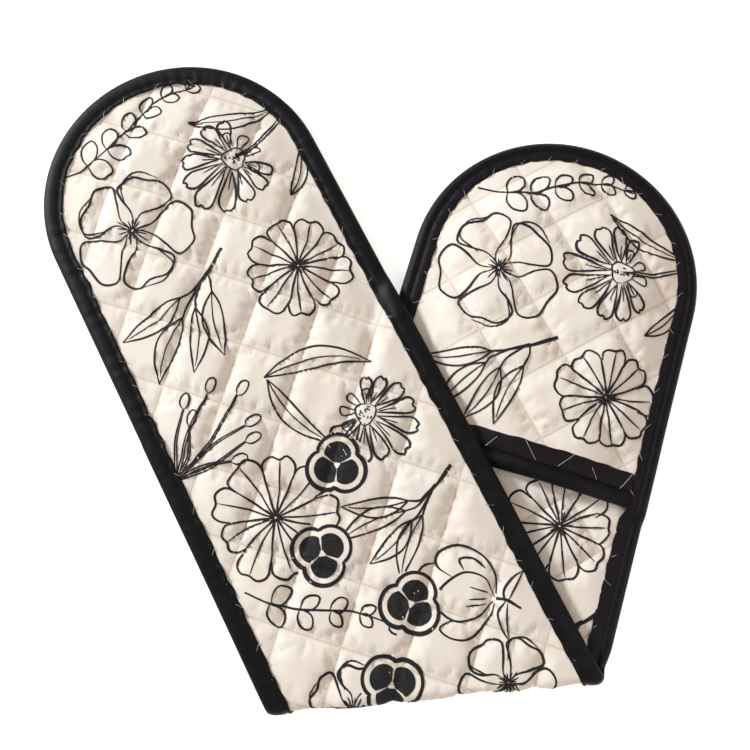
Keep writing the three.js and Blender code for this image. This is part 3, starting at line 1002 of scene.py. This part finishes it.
def oval_branch(ink, start, end, pairs=5, size=17, bend=5):
    """Thin stem with pairs of round leaves that get smaller."""
    start, end = np.array(start, float), np.array(end, float)
    along = end - start
    length = hypot(*along)
    heading = np.degrees(atan2(along[1], along[0]))
    across = np.array([-along[1], along[0]]) / length
    stem = [start + along * k + across * bend * sin(2 * pi * k) for k in np.linspace(0, 1, 7)]
    ink.stroke(stem, 1.15, (1, 0.5))
    for k in range(pairs):
        share = 0.18 + 0.76 * k / (pairs - 1)
        at = start + along * share + across * bend * sin(2 * pi * share)
        big = size * mix(1.0, 0.55, k / (pairs - 1))
        for side in (-1, 1):
            pen = Pen(ink, *at, heading + side * mix(52, 30, k / (pairs - 1)))
            pen.line([(0, 0), (0.3 * big, 0.3 * big), (0.72 * big, 0.33 * big),
                      (1.05 * big, 0.04 * big), (0.76 * big, -0.29 * big),
                      (0.34 * big, -0.27 * big), (0.02, 0)], 1.15)


def bud_branch(ink, base, tips):
    """Branch that forks into small closed buds."""
    base = np.array(base, float)
    for k, tip in enumerate(tips):
        tip = np.array(tip, float)
        along = tip - base
        heading = np.degrees(atan2(along[1], along[0]))
        across = np.array([-along[1], along[0]]) / hypot(*along)
        bow = 3.0 * (1 if k % 2 else -1)
        neck = tip - along / hypot(*along) * 9
        for offset in (-0.7, 0.7):
            ink.stroke([base + across * offset, (base + neck) / 2 + across * (bow + offset),
                        neck + across * offset * 0.6], 0.85, (1, 0.8))
        pen = Pen(ink, *neck, heading)
        pen.line([(0, 0), (3, 2.6), (8, 2.7), (10.5, 0.2), (8, -2.6), (3, -2.3), (0, 0)],
                 1.0, shake=0.15)


def poppy(ink, x, y, size, turn=0):
    """Half-open flower of wrapped petals, with its stem and two narrow leaves."""
    pen = Pen(ink, x, y, turn, size)
    petals = [
        [(-0.06, 0.72), (-0.46, 0.48), (-0.64, 0.04), (-0.46, -0.34), (-0.14, -0.4), (0.16, -0.26),
         (0.4, 0.06), (0.34, 0.46), (0.04, 0.74)],
        [(0.2, -0.24), (0.34, -0.58), (0.64, -0.6), (0.88, -0.22), (0.82, 0.3), (0.48, 0.64),
         (0.12, 0.76)],
        [(-0.48, -0.36), (-0.42, -0.72), (-0.1, -0.94), (0.26, -0.88), (0.4, -0.62)],
        [(-0.64, 0.0), (-0.86, -0.24), (-1.0, 0.08), (-0.86, 0.48), (-0.4, 0.72), (-0.1, 0.76)],
        [(0.4, -0.02), (0.6, -0.16), (0.68, 0.1), (0.56, 0.42)],
    ]
    for petal in petals:
        pen.line(petal, 1.25, shake=0.35)
    pen.line([(0.02, 0.76), (0.04, 1.0), (-0.06, 1.3)], 1.7, (1, 0.8))
    for side in (-1, 1):
        pen.line([(0.0, 0.95), (0.24 * side, 0.86), (0.52 * side, 1.0), (0.7 * side, 1.2)], 1.2)
        pen.line([(0.0, 1.0), (0.3 * side, 1.06), (0.68 * side, 1.2)], 1.0)
    for bend in (-0.16, -0.04, 0.1):
        pen.line([(bend, 0.58), (bend * 1.5 - 0.06, 0.2)], 0.8)


def bold_bloom(ink, x, y, turn, size=14.0):
    """Solid black bloom of three lobes with pale slits, a pale border and a heavy outline."""
    pen = Pen(ink, x, y, turn)

    def lobed(angle, depth):
        return depth + (1 - depth) * abs(cos(1.5 * angle)) ** 0.8

    for k in range(3):
        angles = np.linspace(-0.96, 0.96, 29)
        middle = 2 * pi / 3 * k
        edge = [size * lobed(a, 0.6) for a in angles]
        heart = [0.1 * size + 0.9 * abs(a) for a in angles]
        outer = [(r * cos(a + middle), r * sin(a + middle)) for r, a in zip(edge, angles)]
        inner = [(r * cos(a + middle), r * sin(a + middle)) for r, a in zip(heart, angles)]
        ink.fill(pen.spot(inner, 0), pen.spot(outer, 0), 10)
    ring = [((size + 4.2) * lobed(a, 0.74) * cos(a), (size + 4.2) * lobed(a, 0.74) * sin(a))
            for a in np.linspace(0, 2 * pi, 61)]
    pen.line(ring, 2.3, (1, 1), 0, over=True)


# Bold blooms: x, y and turn of each, and the room that other strokes leave round them.
BOLD = [(9, 285, 62), (-22, 327, -12), (11, 376, 78), (-20, 411, 8)]
BOLD_ROOM = 17.5


def draw_outer(ink):
    """The long face: x across, y down from the rounded end."""
    for x, y, turn in BOLD:
        ink.bare.append((x, y))
        bold_bloom(ink, x, y, turn)
    oval_branch(ink, (-66, 43), (38, 24), 6, 17)
    five_petal(ink, -38, 99, 38, 20)
    leaf(ink, (23, 49), (77, 61), 11, 0.1)
    daisy(ink, 38, 84, 37, 72, 235, 10, (78, 69))
    leaf(ink, (60, 121), (80, 92), 8, 0.1)
    sprig(ink, (6, 134), [((-21, 150), (-74, 158)), ((-28, 157), (-65, 192)),
                          ((-21, 154), (-42, 197)), ((-9, 149), (-21, 196))])
    cosmos(ink, 43, 166, 33, 10, 9)
    bud_branch(ink, (-80, 249), [(-53, 206), (-53, 218), (-34, 206), (-17, 217), (-20, 238),
                                 (-24, 248), (-37, 256)])
    leaf(ink, (-6, 219), (56, 239), 13, -0.12)
    leaf(ink, (-5, 221), (12, 272), 11, 0.1)
    daisy(ink, 38, 266, 33, -35, 235, 10)
    cosmos(ink, -37, 296, 37, 0, 9)
    sprig(ink, (69, 316), [((44, 326), (0, 308)), ((41, 328), (-10, 325)), ((40, 332), (0, 345)),
                         ((46, 329), (12, 361))])
    oval_branch(ink, (-72, 326), (-2, 384), 5, 14, 3)
    poppy(ink, 40, 382, 28, -48)
    five_petal(ink, -45, 412, 26, 15)
    five_petal(ink, 40, 440, 27, 40)
    cosmos(ink, -38, 470, 33, 15, 9)
    draw_hidden(ink, 480)


def draw_hidden(ink, start):
    """The same plants again, further along the cloth."""
    sprig(ink, (66, start + 8), [((38, start + 14), (-4, start + 4)),
                                 ((36, start + 18), (-12, start + 26)),
                                 ((40, start + 20), (2, start + 45))])
    five_petal(ink, 38, start + 72, 36, 50)
    daisy(ink, -34, start + 66, 38, 110, 250, 11)
    oval_branch(ink, (-70, start + 120), (20, start + 106), 6, 16)
    cosmos(ink, 40, start + 148, 32, 0, 9)
    sprig(ink, (-2, start + 128), [((-26, start + 142), (-72, start + 148)),
                                  ((-30, start + 148), (-64, start + 178)),
                                  ((-20, start + 146), (-36, start + 186))])
    five_petal(ink, 34, start + 212, 36, 10)
    daisy(ink, -38, start + 222, 36, 80, 250, 11)
    oval_branch(ink, (-40, start + 272), (44, start + 258), 6, 16)


def draw_pocket(ink):
    oval_branch(ink, (-62, 48), (34, 23), 6, 16)
    five_petal(ink, -36, 99, 37, 18)
    leaf(ink, (22, 44), (77, 56), 10, 0.1)
    daisy(ink, 37, 80, 36, 74, 235, 10, (78, 62))
    leaf(ink, (61, 113), (80, 84), 8, 0.1)
    sprig(ink, (10, 130), [((-18, 147), (-66, 163)), ((-24, 152), (-47, 191)),
                           ((-16, 151), (-31, 193)), ((-4, 146), (-13, 192))])
    cosmos(ink, 47, 157, 32, 5, 9)


def draw_lining(ink):
    """Inner face of an arm, from its rounded end: only what lies past the pocket shows."""
    five_petal(ink, -30, 70, 36, 30)
    daisy(ink, 36, 90, 38, 60, 250, 11)
    sprig(ink, (8, 124), [((-18, 140), (-70, 150)), ((-24, 146), (-60, 184)),
                          ((-14, 145), (-34, 190))])
    cosmos(ink, 44, 150, 30, 10, 9)
    cosmos(ink, 42, 238, 33, 8, 9)
    daisy(ink, -36, 236, 36, 75, 250, 11)
    sprig(ink, (78, 278), [((62, 294), (30, 312)), ((60, 298), (34, 334)), ((66, 298), (56, 338))])
    five_petal(ink, -34, 306, 34, 40)
    oval_branch(ink, (-66, 362), (24, 350), 6, 16)
    five_petal(ink, 38, 392, 32, 20)


def cut_print(draw, to_band, seed):
    """Draw on the flat band and cut the drawing at the fold as the cloth is cut."""
    ink = Ink(to_band, seed)
    draw(ink)
    bm = ink.done()
    cut(bm, (HALF - 3, 0), (1, 0))
    cut(bm, (3 - HALF, 0), (-1, 0))
    upper, strip, lower = split_at_fold(bm)
    return {"upper": upper, "fold": strip, "lower": lower}


# ---------------------------------------------------------------- finishes

def nodes_of(material):
    material.use_nodes = True
    tree = material.node_tree
    return tree, tree.nodes["Principled BSDF"]


def add(tree, kind, settings=None, **values):
    """A node with settings, and values or links for its inputs by name or number."""
    node = tree.nodes.new(kind)
    for key, value in (settings or {}).items():
        setattr(node, key, value)
    for key, value in values.items():
        socket = node.inputs[int(key[1:]) if key[0] == "_" else key]
        if isinstance(value, bpy.types.NodeSocket):
            tree.links.new(value, socket)
        else:
            socket.default_value = value
    return node


def maths(tree, operation, a, b=0.0, c=None):
    node = add(tree, "ShaderNodeMath", {"operation": operation}, _0=a, _1=b)
    if c is not None:
        if isinstance(c, bpy.types.NodeSocket):
            tree.links.new(c, node.inputs[2])
        else:
            node.inputs[2].default_value = c
    return node.outputs[0]


def ranged(tree, value, low, high, start=0.0, end=1.0, curve="LINEAR"):
    """Value between low and high turned into start to end, and held there outside."""
    return add(tree, "ShaderNodeMapRange", {"interpolation_type": curve},
               Value=value, _1=low, _2=high, _3=start, _4=end).outputs[0]


def colour_and_relief(tree, shader, colour, height, strength):
    bump = add(tree, "ShaderNodeBump", Strength=strength, Distance=MM, Height=height)
    tree.links.new(colour, shader.inputs["Base Color"])
    tree.links.new(bump.outputs[0], shader.inputs["Normal"])


def new_group(name, inputs, outputs):
    tree = bpy.data.node_groups.new(name, "ShaderNodeTree")
    for label, kind, value in inputs:
        socket = tree.interface.new_socket(label, in_out="INPUT", socket_type=kind)
        if value is not None:
            socket.default_value = value
    for label, kind in outputs:
        tree.interface.new_socket(label, in_out="OUTPUT", socket_type=kind)
    return tree, tree.nodes.new("NodeGroupInput"), tree.nodes.new("NodeGroupOutput")


def make_weave_group():
    """Over-and-under of plain woven thread, with a little unevenness. Vector in mm."""
    tree, source, sink = new_group(
        "plain_weave",
        [("Vector", "NodeSocketVector", None), ("Pitch", "NodeSocketFloat", 0.5)],
        [("Height", "NodeSocketFloat"), ("Slub", "NodeSocketFloat")])
    scale = maths(tree, "DIVIDE", 0.314, source.outputs["Pitch"])
    at = source.outputs["Vector"]
    wobble = add(tree, "ShaderNodeTexNoise", Vector=at, Scale=0.35, Detail=2.0)
    moved = add(tree, "ShaderNodeVectorMath", {"operation": "MULTIPLY_ADD"},
                _0=wobble.outputs["Color"], _1=(0.3, 0.3, 0.0), _2=at)
    weft, warp = (add(tree, "ShaderNodeTexWave", {"bands_direction": direction},
                      Vector=moved.outputs[0], Scale=scale) for direction in "XY")
    height = maths(tree, "MULTIPLY", weft.outputs["Fac"], warp.outputs["Fac"])
    stretch = add(tree, "ShaderNodeMapping", Vector=at, Scale=(0.12, 2.2, 1.0))
    slub = add(tree, "ShaderNodeTexNoise", Vector=stretch.outputs[0], Scale=1.0, Detail=3.0)
    tree.links.new(height, sink.inputs["Height"])
    tree.links.new(slub.outputs["Fac"], sink.inputs["Slub"])
    return tree


def make_stitch_group():
    """Quilting stitches on the whole numbers of the seam map. Mask is the thread, Dip the
    little trench it lies in."""
    tree, source, sink = new_group(
        "quilting_stitches",
        [("Vector", "NodeSocketVector", None), ("Stitch", "NodeSocketFloat", 0.075)],
        [("Mask", "NodeSocketFloat"), ("Dip", "NodeSocketFloat")])
    split = add(tree, "ShaderNodeSeparateXYZ", Vector=source.outputs["Vector"])
    masks, dips = [], []
    for across, along in ((0, 1), (1, 0)):
        moved = maths(tree, "ADD", split.outputs[across], 0.5)
        off = maths(tree, "ABSOLUTE", maths(tree, "SUBTRACT", maths(tree, "FRACT", moved), 0.5))
        line = maths(tree, "LESS_THAN", off, 0.0075)
        count = maths(tree, "DIVIDE", split.outputs[along], source.outputs["Stitch"])
        beat = maths(tree, "FRACT", count)
        masks.append(maths(tree, "MULTIPLY", line, maths(tree, "LESS_THAN", beat, 0.68)))
        dips.append(ranged(tree, off, 0.0, 0.03, 1.0, 0.0, "SMOOTHSTEP"))
    tree.links.new(maths(tree, "MAXIMUM", *masks), sink.inputs["Mask"])
    tree.links.new(maths(tree, "MAXIMUM", *dips), sink.inputs["Dip"])
    return tree


def use_group(tree, group, **values):
    node = tree.nodes.new("ShaderNodeGroup")
    node.node_tree = group
    for key, value in values.items():
        if isinstance(value, bpy.types.NodeSocket):
            tree.links.new(value, node.inputs[key])
        else:
            node.inputs[key].default_value = value
    return node


def blend_colour(tree, share, first, second):
    node = add(tree, "ShaderNodeMix", {"data_type": "RGBA"})
    for number, value in ((0, share), (6, first), (7, second)):
        socket = node.inputs[number]
        if isinstance(value, bpy.types.NodeSocket):
            tree.links.new(value, socket)
        else:
            socket.default_value = value
    return node.outputs[2]


def cloth_vector(tree, turn=pi / 4):
    """The seam map, and the same in millimetres along the band's threads."""
    seam = add(tree, "ShaderNodeUVMap", {"uv_map": "cloth"}).outputs[0]
    grain = add(tree, "ShaderNodeMapping", Vector=seam, Rotation=(0, 0, turn),
                Scale=(SQUARE, SQUARE, 1)).outputs[0]
    return seam, grain


# Painted shade: the tan that the cloth's colour darkens to in the trench along each seam.
SEAM_PAINTED_SHADE = (0.66, 0.51, 0.39, 1)


def make_cotton(name, light, dark, stitches, weave, seams, roughness=0.88):
    material = bpy.data.materials.new(name)
    tree, shader = nodes_of(material)
    seam, grain = cloth_vector(tree)
    threads = use_group(tree, weave, Vector=grain, Pitch=0.5)
    cloud = add(tree, "ShaderNodeTexNoise", Vector=grain, Scale=0.028, Detail=3.0)
    tone = maths(tree, "MULTIPLY_ADD", threads.outputs["Slub"], 0.45,
                 maths(tree, "MULTIPLY", cloud.outputs["Fac"], 0.55))
    colour = blend_colour(tree, ranged(tree, tone, 0.35, 0.65), light, dark)
    height = maths(tree, "MULTIPLY", threads.outputs["Height"], 0.05)
    if stitches:
        sewn = use_group(tree, seams, Vector=seam)
        # Painted shade: the colour darkens towards a tan in the trench along each seam, where shade
        # falls in the crease.
        painted_seam_shade = maths(tree, "MULTIPLY", sewn.outputs["Dip"], 0.7)
        colour = blend_colour(tree, painted_seam_shade, colour, SEAM_PAINTED_SHADE)
        thread = maths(tree, "MULTIPLY", sewn.outputs["Mask"], 0.4)
        colour = blend_colour(tree, thread, colour, stitches)
        height = maths(tree, "SUBTRACT", height, maths(tree, "MULTIPLY", sewn.outputs["Dip"], 0.25))
        height = maths(tree, "ADD", height, maths(tree, "MULTIPLY", sewn.outputs["Mask"], 0.14))
    colour_and_relief(tree, shader, colour, height, 0.55)
    shader.inputs["Roughness"].default_value = roughness
    shader.inputs["Specular IOR Level"].default_value = 0.25
    shader.inputs["Sheen Weight"].default_value = 0.12
    shader.inputs["Sheen Roughness"].default_value = 0.5
    return material


def make_ink(weave):
    """Matt black screen ink that lets the weave show."""
    material = bpy.data.materials.new("print_ink")
    tree, shader = nodes_of(material)
    _, grain = cloth_vector(tree)
    threads = use_group(tree, weave, Vector=grain, Pitch=0.5)
    worn = add(tree, "ShaderNodeTexNoise", Vector=grain, Scale=0.8, Detail=4.0)
    share = ranged(tree, worn.outputs["Fac"], 0.4, 0.75)
    colour = blend_colour(tree, share, (0.008, 0.008, 0.01, 1), (0.03, 0.028, 0.03, 1))
    height = maths(tree, "MULTIPLY", threads.outputs["Height"], 0.04)
    colour_and_relief(tree, shader, colour, height, 0.5)
    shader.inputs["Roughness"].default_value = 0.75
    shader.inputs["Specular IOR Level"].default_value = 0.3
    return material


def make_tape_finish(weave):
    """Black cotton tape: fine cross ribs, a paler colour on the high ribs, a plum cast inside."""
    material = bpy.data.materials.new("black_tape")
    tree, shader = nodes_of(material)
    run = add(tree, "ShaderNodeUVMap", {"uv_map": "cloth"}).outputs[0]
    threads = use_group(tree, weave, Vector=run, Pitch=0.55)
    cloud = add(tree, "ShaderNodeTexNoise", Vector=run, Scale=0.16, Detail=4.0)
    share = ranged(tree, cloud.outputs["Fac"], 0.35, 0.7)
    colour = blend_colour(tree, share, (0.002, 0.002, 0.0028, 1), (0.006, 0.0054, 0.0072, 1))
    across = add(tree, "ShaderNodeSeparateXYZ", Vector=run).outputs[1]
    inside = ranged(tree, across, 27.0, 31.0, 0.0, 0.8, "SMOOTHSTEP")
    colour = blend_colour(tree, inside, colour, (0.0085, 0.0055, 0.0095, 1))
    # The colour turns paler where the weave's ribs stand high and the thread is thick.
    paler_high_ribs = maths(tree, "MULTIPLY", threads.outputs["Slub"], threads.outputs["Height"])
    paler_high_ribs = ranged(tree, paler_high_ribs, 0.35, 0.65, 0.0, 0.35)
    colour = blend_colour(tree, paler_high_ribs, colour, (0.028, 0.027, 0.031, 1))
    height = maths(tree, "MULTIPLY_ADD", threads.outputs["Height"], 0.1,
                   maths(tree, "MULTIPLY", cloud.outputs["Fac"], 0.35))
    colour_and_relief(tree, shader, colour, height, 0.6)
    shader.inputs["Roughness"].default_value = 0.46
    shader.inputs["Specular IOR Level"].default_value = 0.17
    shader.inputs["Sheen Weight"].default_value = 0.01
    shader.inputs["Sheen Roughness"].default_value = 0.4
    return material


def make_wadding_finish():
    """Off-white fleece of tangled fibre."""
    material = bpy.data.materials.new("wadding_fleece")
    tree, shader = nodes_of(material)
    place_at = add(tree, "ShaderNodeTexCoord").outputs["Object"]
    tangle = add(tree, "ShaderNodeTexNoise", Vector=place_at,
                 Scale=900.0, Detail=5.0, Distortion=1.5)
    colour = blend_colour(tree, tangle.outputs["Fac"], (0.82, 0.8, 0.75, 1), (0.62, 0.59, 0.53, 1))
    height = maths(tree, "MULTIPLY", tangle.outputs["Fac"], 0.5)
    colour_and_relief(tree, shader, colour, height, 0.6)
    shader.inputs["Roughness"].default_value = 0.95
    return material


def make_thread_finish():
    """Clear thread drawn in greys, with paler painted glints where a noise runs high."""
    material = bpy.data.materials.new("clear_thread_painted_glints")
    tree, shader = nodes_of(material)
    place_at = add(tree, "ShaderNodeTexCoord").outputs["Object"]
    # Painted glints: the grey turns paler at random spots, standing in for light caught by the
    # clear thread.
    painted_glint = add(tree, "ShaderNodeTexNoise", Vector=place_at, Scale=400.0, Detail=1.0)
    colour = blend_colour(tree, painted_glint.outputs["Fac"], (0.16, 0.16, 0.18, 1), (0.62, 0.62, 0.66, 1))
    tree.links.new(colour, shader.inputs["Base Color"])
    shader.inputs["Roughness"].default_value = 0.25
    shader.inputs["Specular IOR Level"].default_value = 0.7
    return material


# ---------------------------------------------------------------- light, floor, camera

FLOOR_HALF = 25
FLOOR_HEIGHT = -0.8
FLOOR_GLOW = 0.62
CAMERA_LENS = 35.95
CAMERA_DISTANCE = 0.4595
CAMERA_LIFT = radians(80.75)
CAMERA_TARGET = (3.7, -3.3, 8.0)


def make_floor():
    bm = bmesh.new()
    bmesh.ops.create_grid(bm, x_segments=4, y_segments=4, size=FLOOR_HALF)
    bmesh.ops.translate(bm, verts=bm.verts[:], vec=(0, 0, FLOOR_HEIGHT * MM))
    mesh = flat_mesh("floor", bm)
    bm.free()
    material = bpy.data.materials.new("white_paper")
    tree, shader = nodes_of(material)
    grain = add(tree, "ShaderNodeTexNoise",
                Vector=add(tree, "ShaderNodeTexCoord").outputs["Object"], Scale=300.0)
    tree.links.new(blend_colour(tree, grain.outputs["Fac"], (0.93, 0.93, 0.93, 1),
                                (0.95, 0.95, 0.95, 1)), shader.inputs["Base Color"])
    shader.inputs["Roughness"].default_value = 1.0
    shader.inputs["Specular IOR Level"].default_value = 0.0
    shader.inputs["Emission Color"].default_value = (1, 1, 1, 1)
    shader.inputs["Emission Strength"].default_value = FLOOR_GLOW
    add_object("floor", mesh, [material])


def aim(obj, target):
    direction = Vector(target) - obj.location
    obj.rotation_euler = direction.to_track_quat("-Z", "Y").to_euler()


def add_area(name, location, size, power, colour):
    light = bpy.data.lights.new(name, "AREA")
    light.shape = "DISK"
    light.size = size
    light.energy = power
    light.color = colour
    obj = bpy.data.objects.new(name, light)
    bpy.context.scene.collection.objects.link(obj)
    obj.location = location
    aim(obj, (0, 0, 0))


def set_light_and_camera():
    world = bpy.data.worlds.new("studio")
    world.use_nodes = True
    sky = world.node_tree.nodes["Background"]
    sky.inputs["Color"].default_value = (1, 0.885, 0.815, 1)
    sky.inputs["Strength"].default_value = 0.48
    scene = bpy.context.scene
    scene.world = world
    scene.view_settings.view_transform = "Standard"
    add_area("key", (-3.2, 1.9, 1.75), 0.8, 184, (0.865, 0.955, 1.0))
    add_area("fill", (1.0, -0.7, 1.1), 1.0, 4, (1.0, 0.95, 0.9))
    camera = bpy.data.cameras.new("camera")
    camera.lens = CAMERA_LENS
    camera.sensor_width = 36
    camera.clip_start = 0.01
    eye = bpy.data.objects.new("camera", camera)
    scene.collection.objects.link(eye)
    target = Vector(CAMERA_TARGET) * MM
    eye.location = target + Vector((0, -cos(CAMERA_LIFT), sin(CAMERA_LIFT))) * CAMERA_DISTANCE
    aim(eye, target)
    scene.camera = eye


# ---------------------------------------------------------------- the glove

set_light_and_camera()
make_floor()

WEAVE = make_weave_group()
SEAMS = make_stitch_group()
PALE = (0.89, 0.83, 0.765, 1)
WARM = (0.865, 0.766, 0.662, 1)
printed = make_cotton("printed_cotton", PALE, WARM, (0.93, 0.86, 0.76, 1), WEAVE, SEAMS)
hand_lining = make_cotton("lining_cotton", (0.88, 0.79, 0.68, 1), (0.8, 0.7, 0.58, 1),
                          (0.9, 0.83, 0.74, 1), WEAVE, SEAMS, 0.92)
ink_finish = make_ink(WEAVE)
tape_finish = make_tape_finish(WEAVE)
fleece = make_wadding_finish()
clear_thread_painted_glints = make_thread_finish()

fine = cut_band(PER_SQUARE, CLOTH_INSET)
coarse = cut_band(8, CLOTH_INSET + 0.6)
outer_print = cut_print(draw_outer, to_upper, 3)
pocket_print = {"upper": cut_print(draw_pocket, to_upper, 4)["upper"],
                "lower": cut_print(draw_pocket, to_lower, 4)["lower"]}
lining_print = {"upper": cut_print(draw_lining, to_upper, 5)["upper"],
                "lower": cut_print(draw_lining, to_lower, 5)["lower"]}

outer, lining = {}, {}
for arm in ("lower", "fold", "upper"):
    outer[arm] = make_cloth(f"{arm}_printed_face", f"{arm}_outer_cloth", fine[arm], arm, "outer",
                            [printed, ink_finish], "printed_cloth", outer_print[arm])
    lining[arm] = make_cloth(f"{arm}_inner_face", f"{arm}_lining", fine[arm], arm, "lining",
                             [printed, ink_finish], "lining_cloth", lining_print.get(arm))
    make_wadding(f"{arm}_filling", f"{arm}_wadding", coarse[arm], arm, "outer", "lining", fleece)

pocket, pocket_lining = {}, {}
for arm in ("lower", "upper"):
    fine_pocket = cut_pocket(fine[arm], arm, CLOTH_INSET)
    coarse_pocket = cut_pocket(coarse[arm], arm, CLOTH_INSET + 0.8)
    pocket[arm] = make_cloth(
        f"{arm}_pocket_face", f"{arm}_pocket_cloth", fine_pocket, arm, "pocket_cloth",
        [printed, ink_finish], "printed_cloth", pocket_print[arm])
    pocket_lining[arm] = make_cloth(
        f"{arm}_hand_lining", f"{arm}_pocket_lining", fine_pocket, arm, "pocket_lining",
        [hand_lining], "lining_cloth")
    make_wadding(f"{arm}_pocket_filling", f"{arm}_pocket_wadding", coarse_pocket, arm,
                 "pocket_lining", "pocket_cloth", fleece)

edge_flat = dict(zip(("upper", "fold", "lower"), split_at_fold(edge_tape_flat())))
edge_tape = {arm: make_tape(f"{arm}_edge_tape", f"{arm}_edge_binding", edge_flat[arm], arm,
                            tape_finish)
             for arm in ("lower", "upper")}
fold_tape = {side: make_tape(f"fold_tape_{side}", f"fold_binding_{side}",
                             half_of(edge_flat["fold"], sign), "fold", tape_finish)
             for side, sign in (("left", -1), ("right", 1))}
mouth_tape = {arm: make_tape(f"{arm}_mouth_tape", f"{arm}_mouth_binding", mouth_tape_flat(arm),
                             arm, tape_finish)
              for arm in ("lower", "upper")}

edge_thread, mouth_thread = {}, {}
outer_floats = edge_thread_flat(-1)
inner_floats = edge_thread_flat(1)
for arm, keep in (("upper", 0), ("lower", 2)):
    floats = bmesh.new()
    for source in (outer_floats, inner_floats):
        part = split_at_fold(source.copy())[keep]
        part.to_mesh(shelf := bpy.data.meshes.new("floats"))
        floats.from_mesh(shelf)
    edge_thread[arm] = make_thread(f"{arm}_edge_thread", floats, arm, clear_thread_painted_glints)
    mouth_thread[arm] = make_thread(f"{arm}_mouth_thread", mouth_thread_flat(arm), arm,
                                    clear_thread_painted_glints)
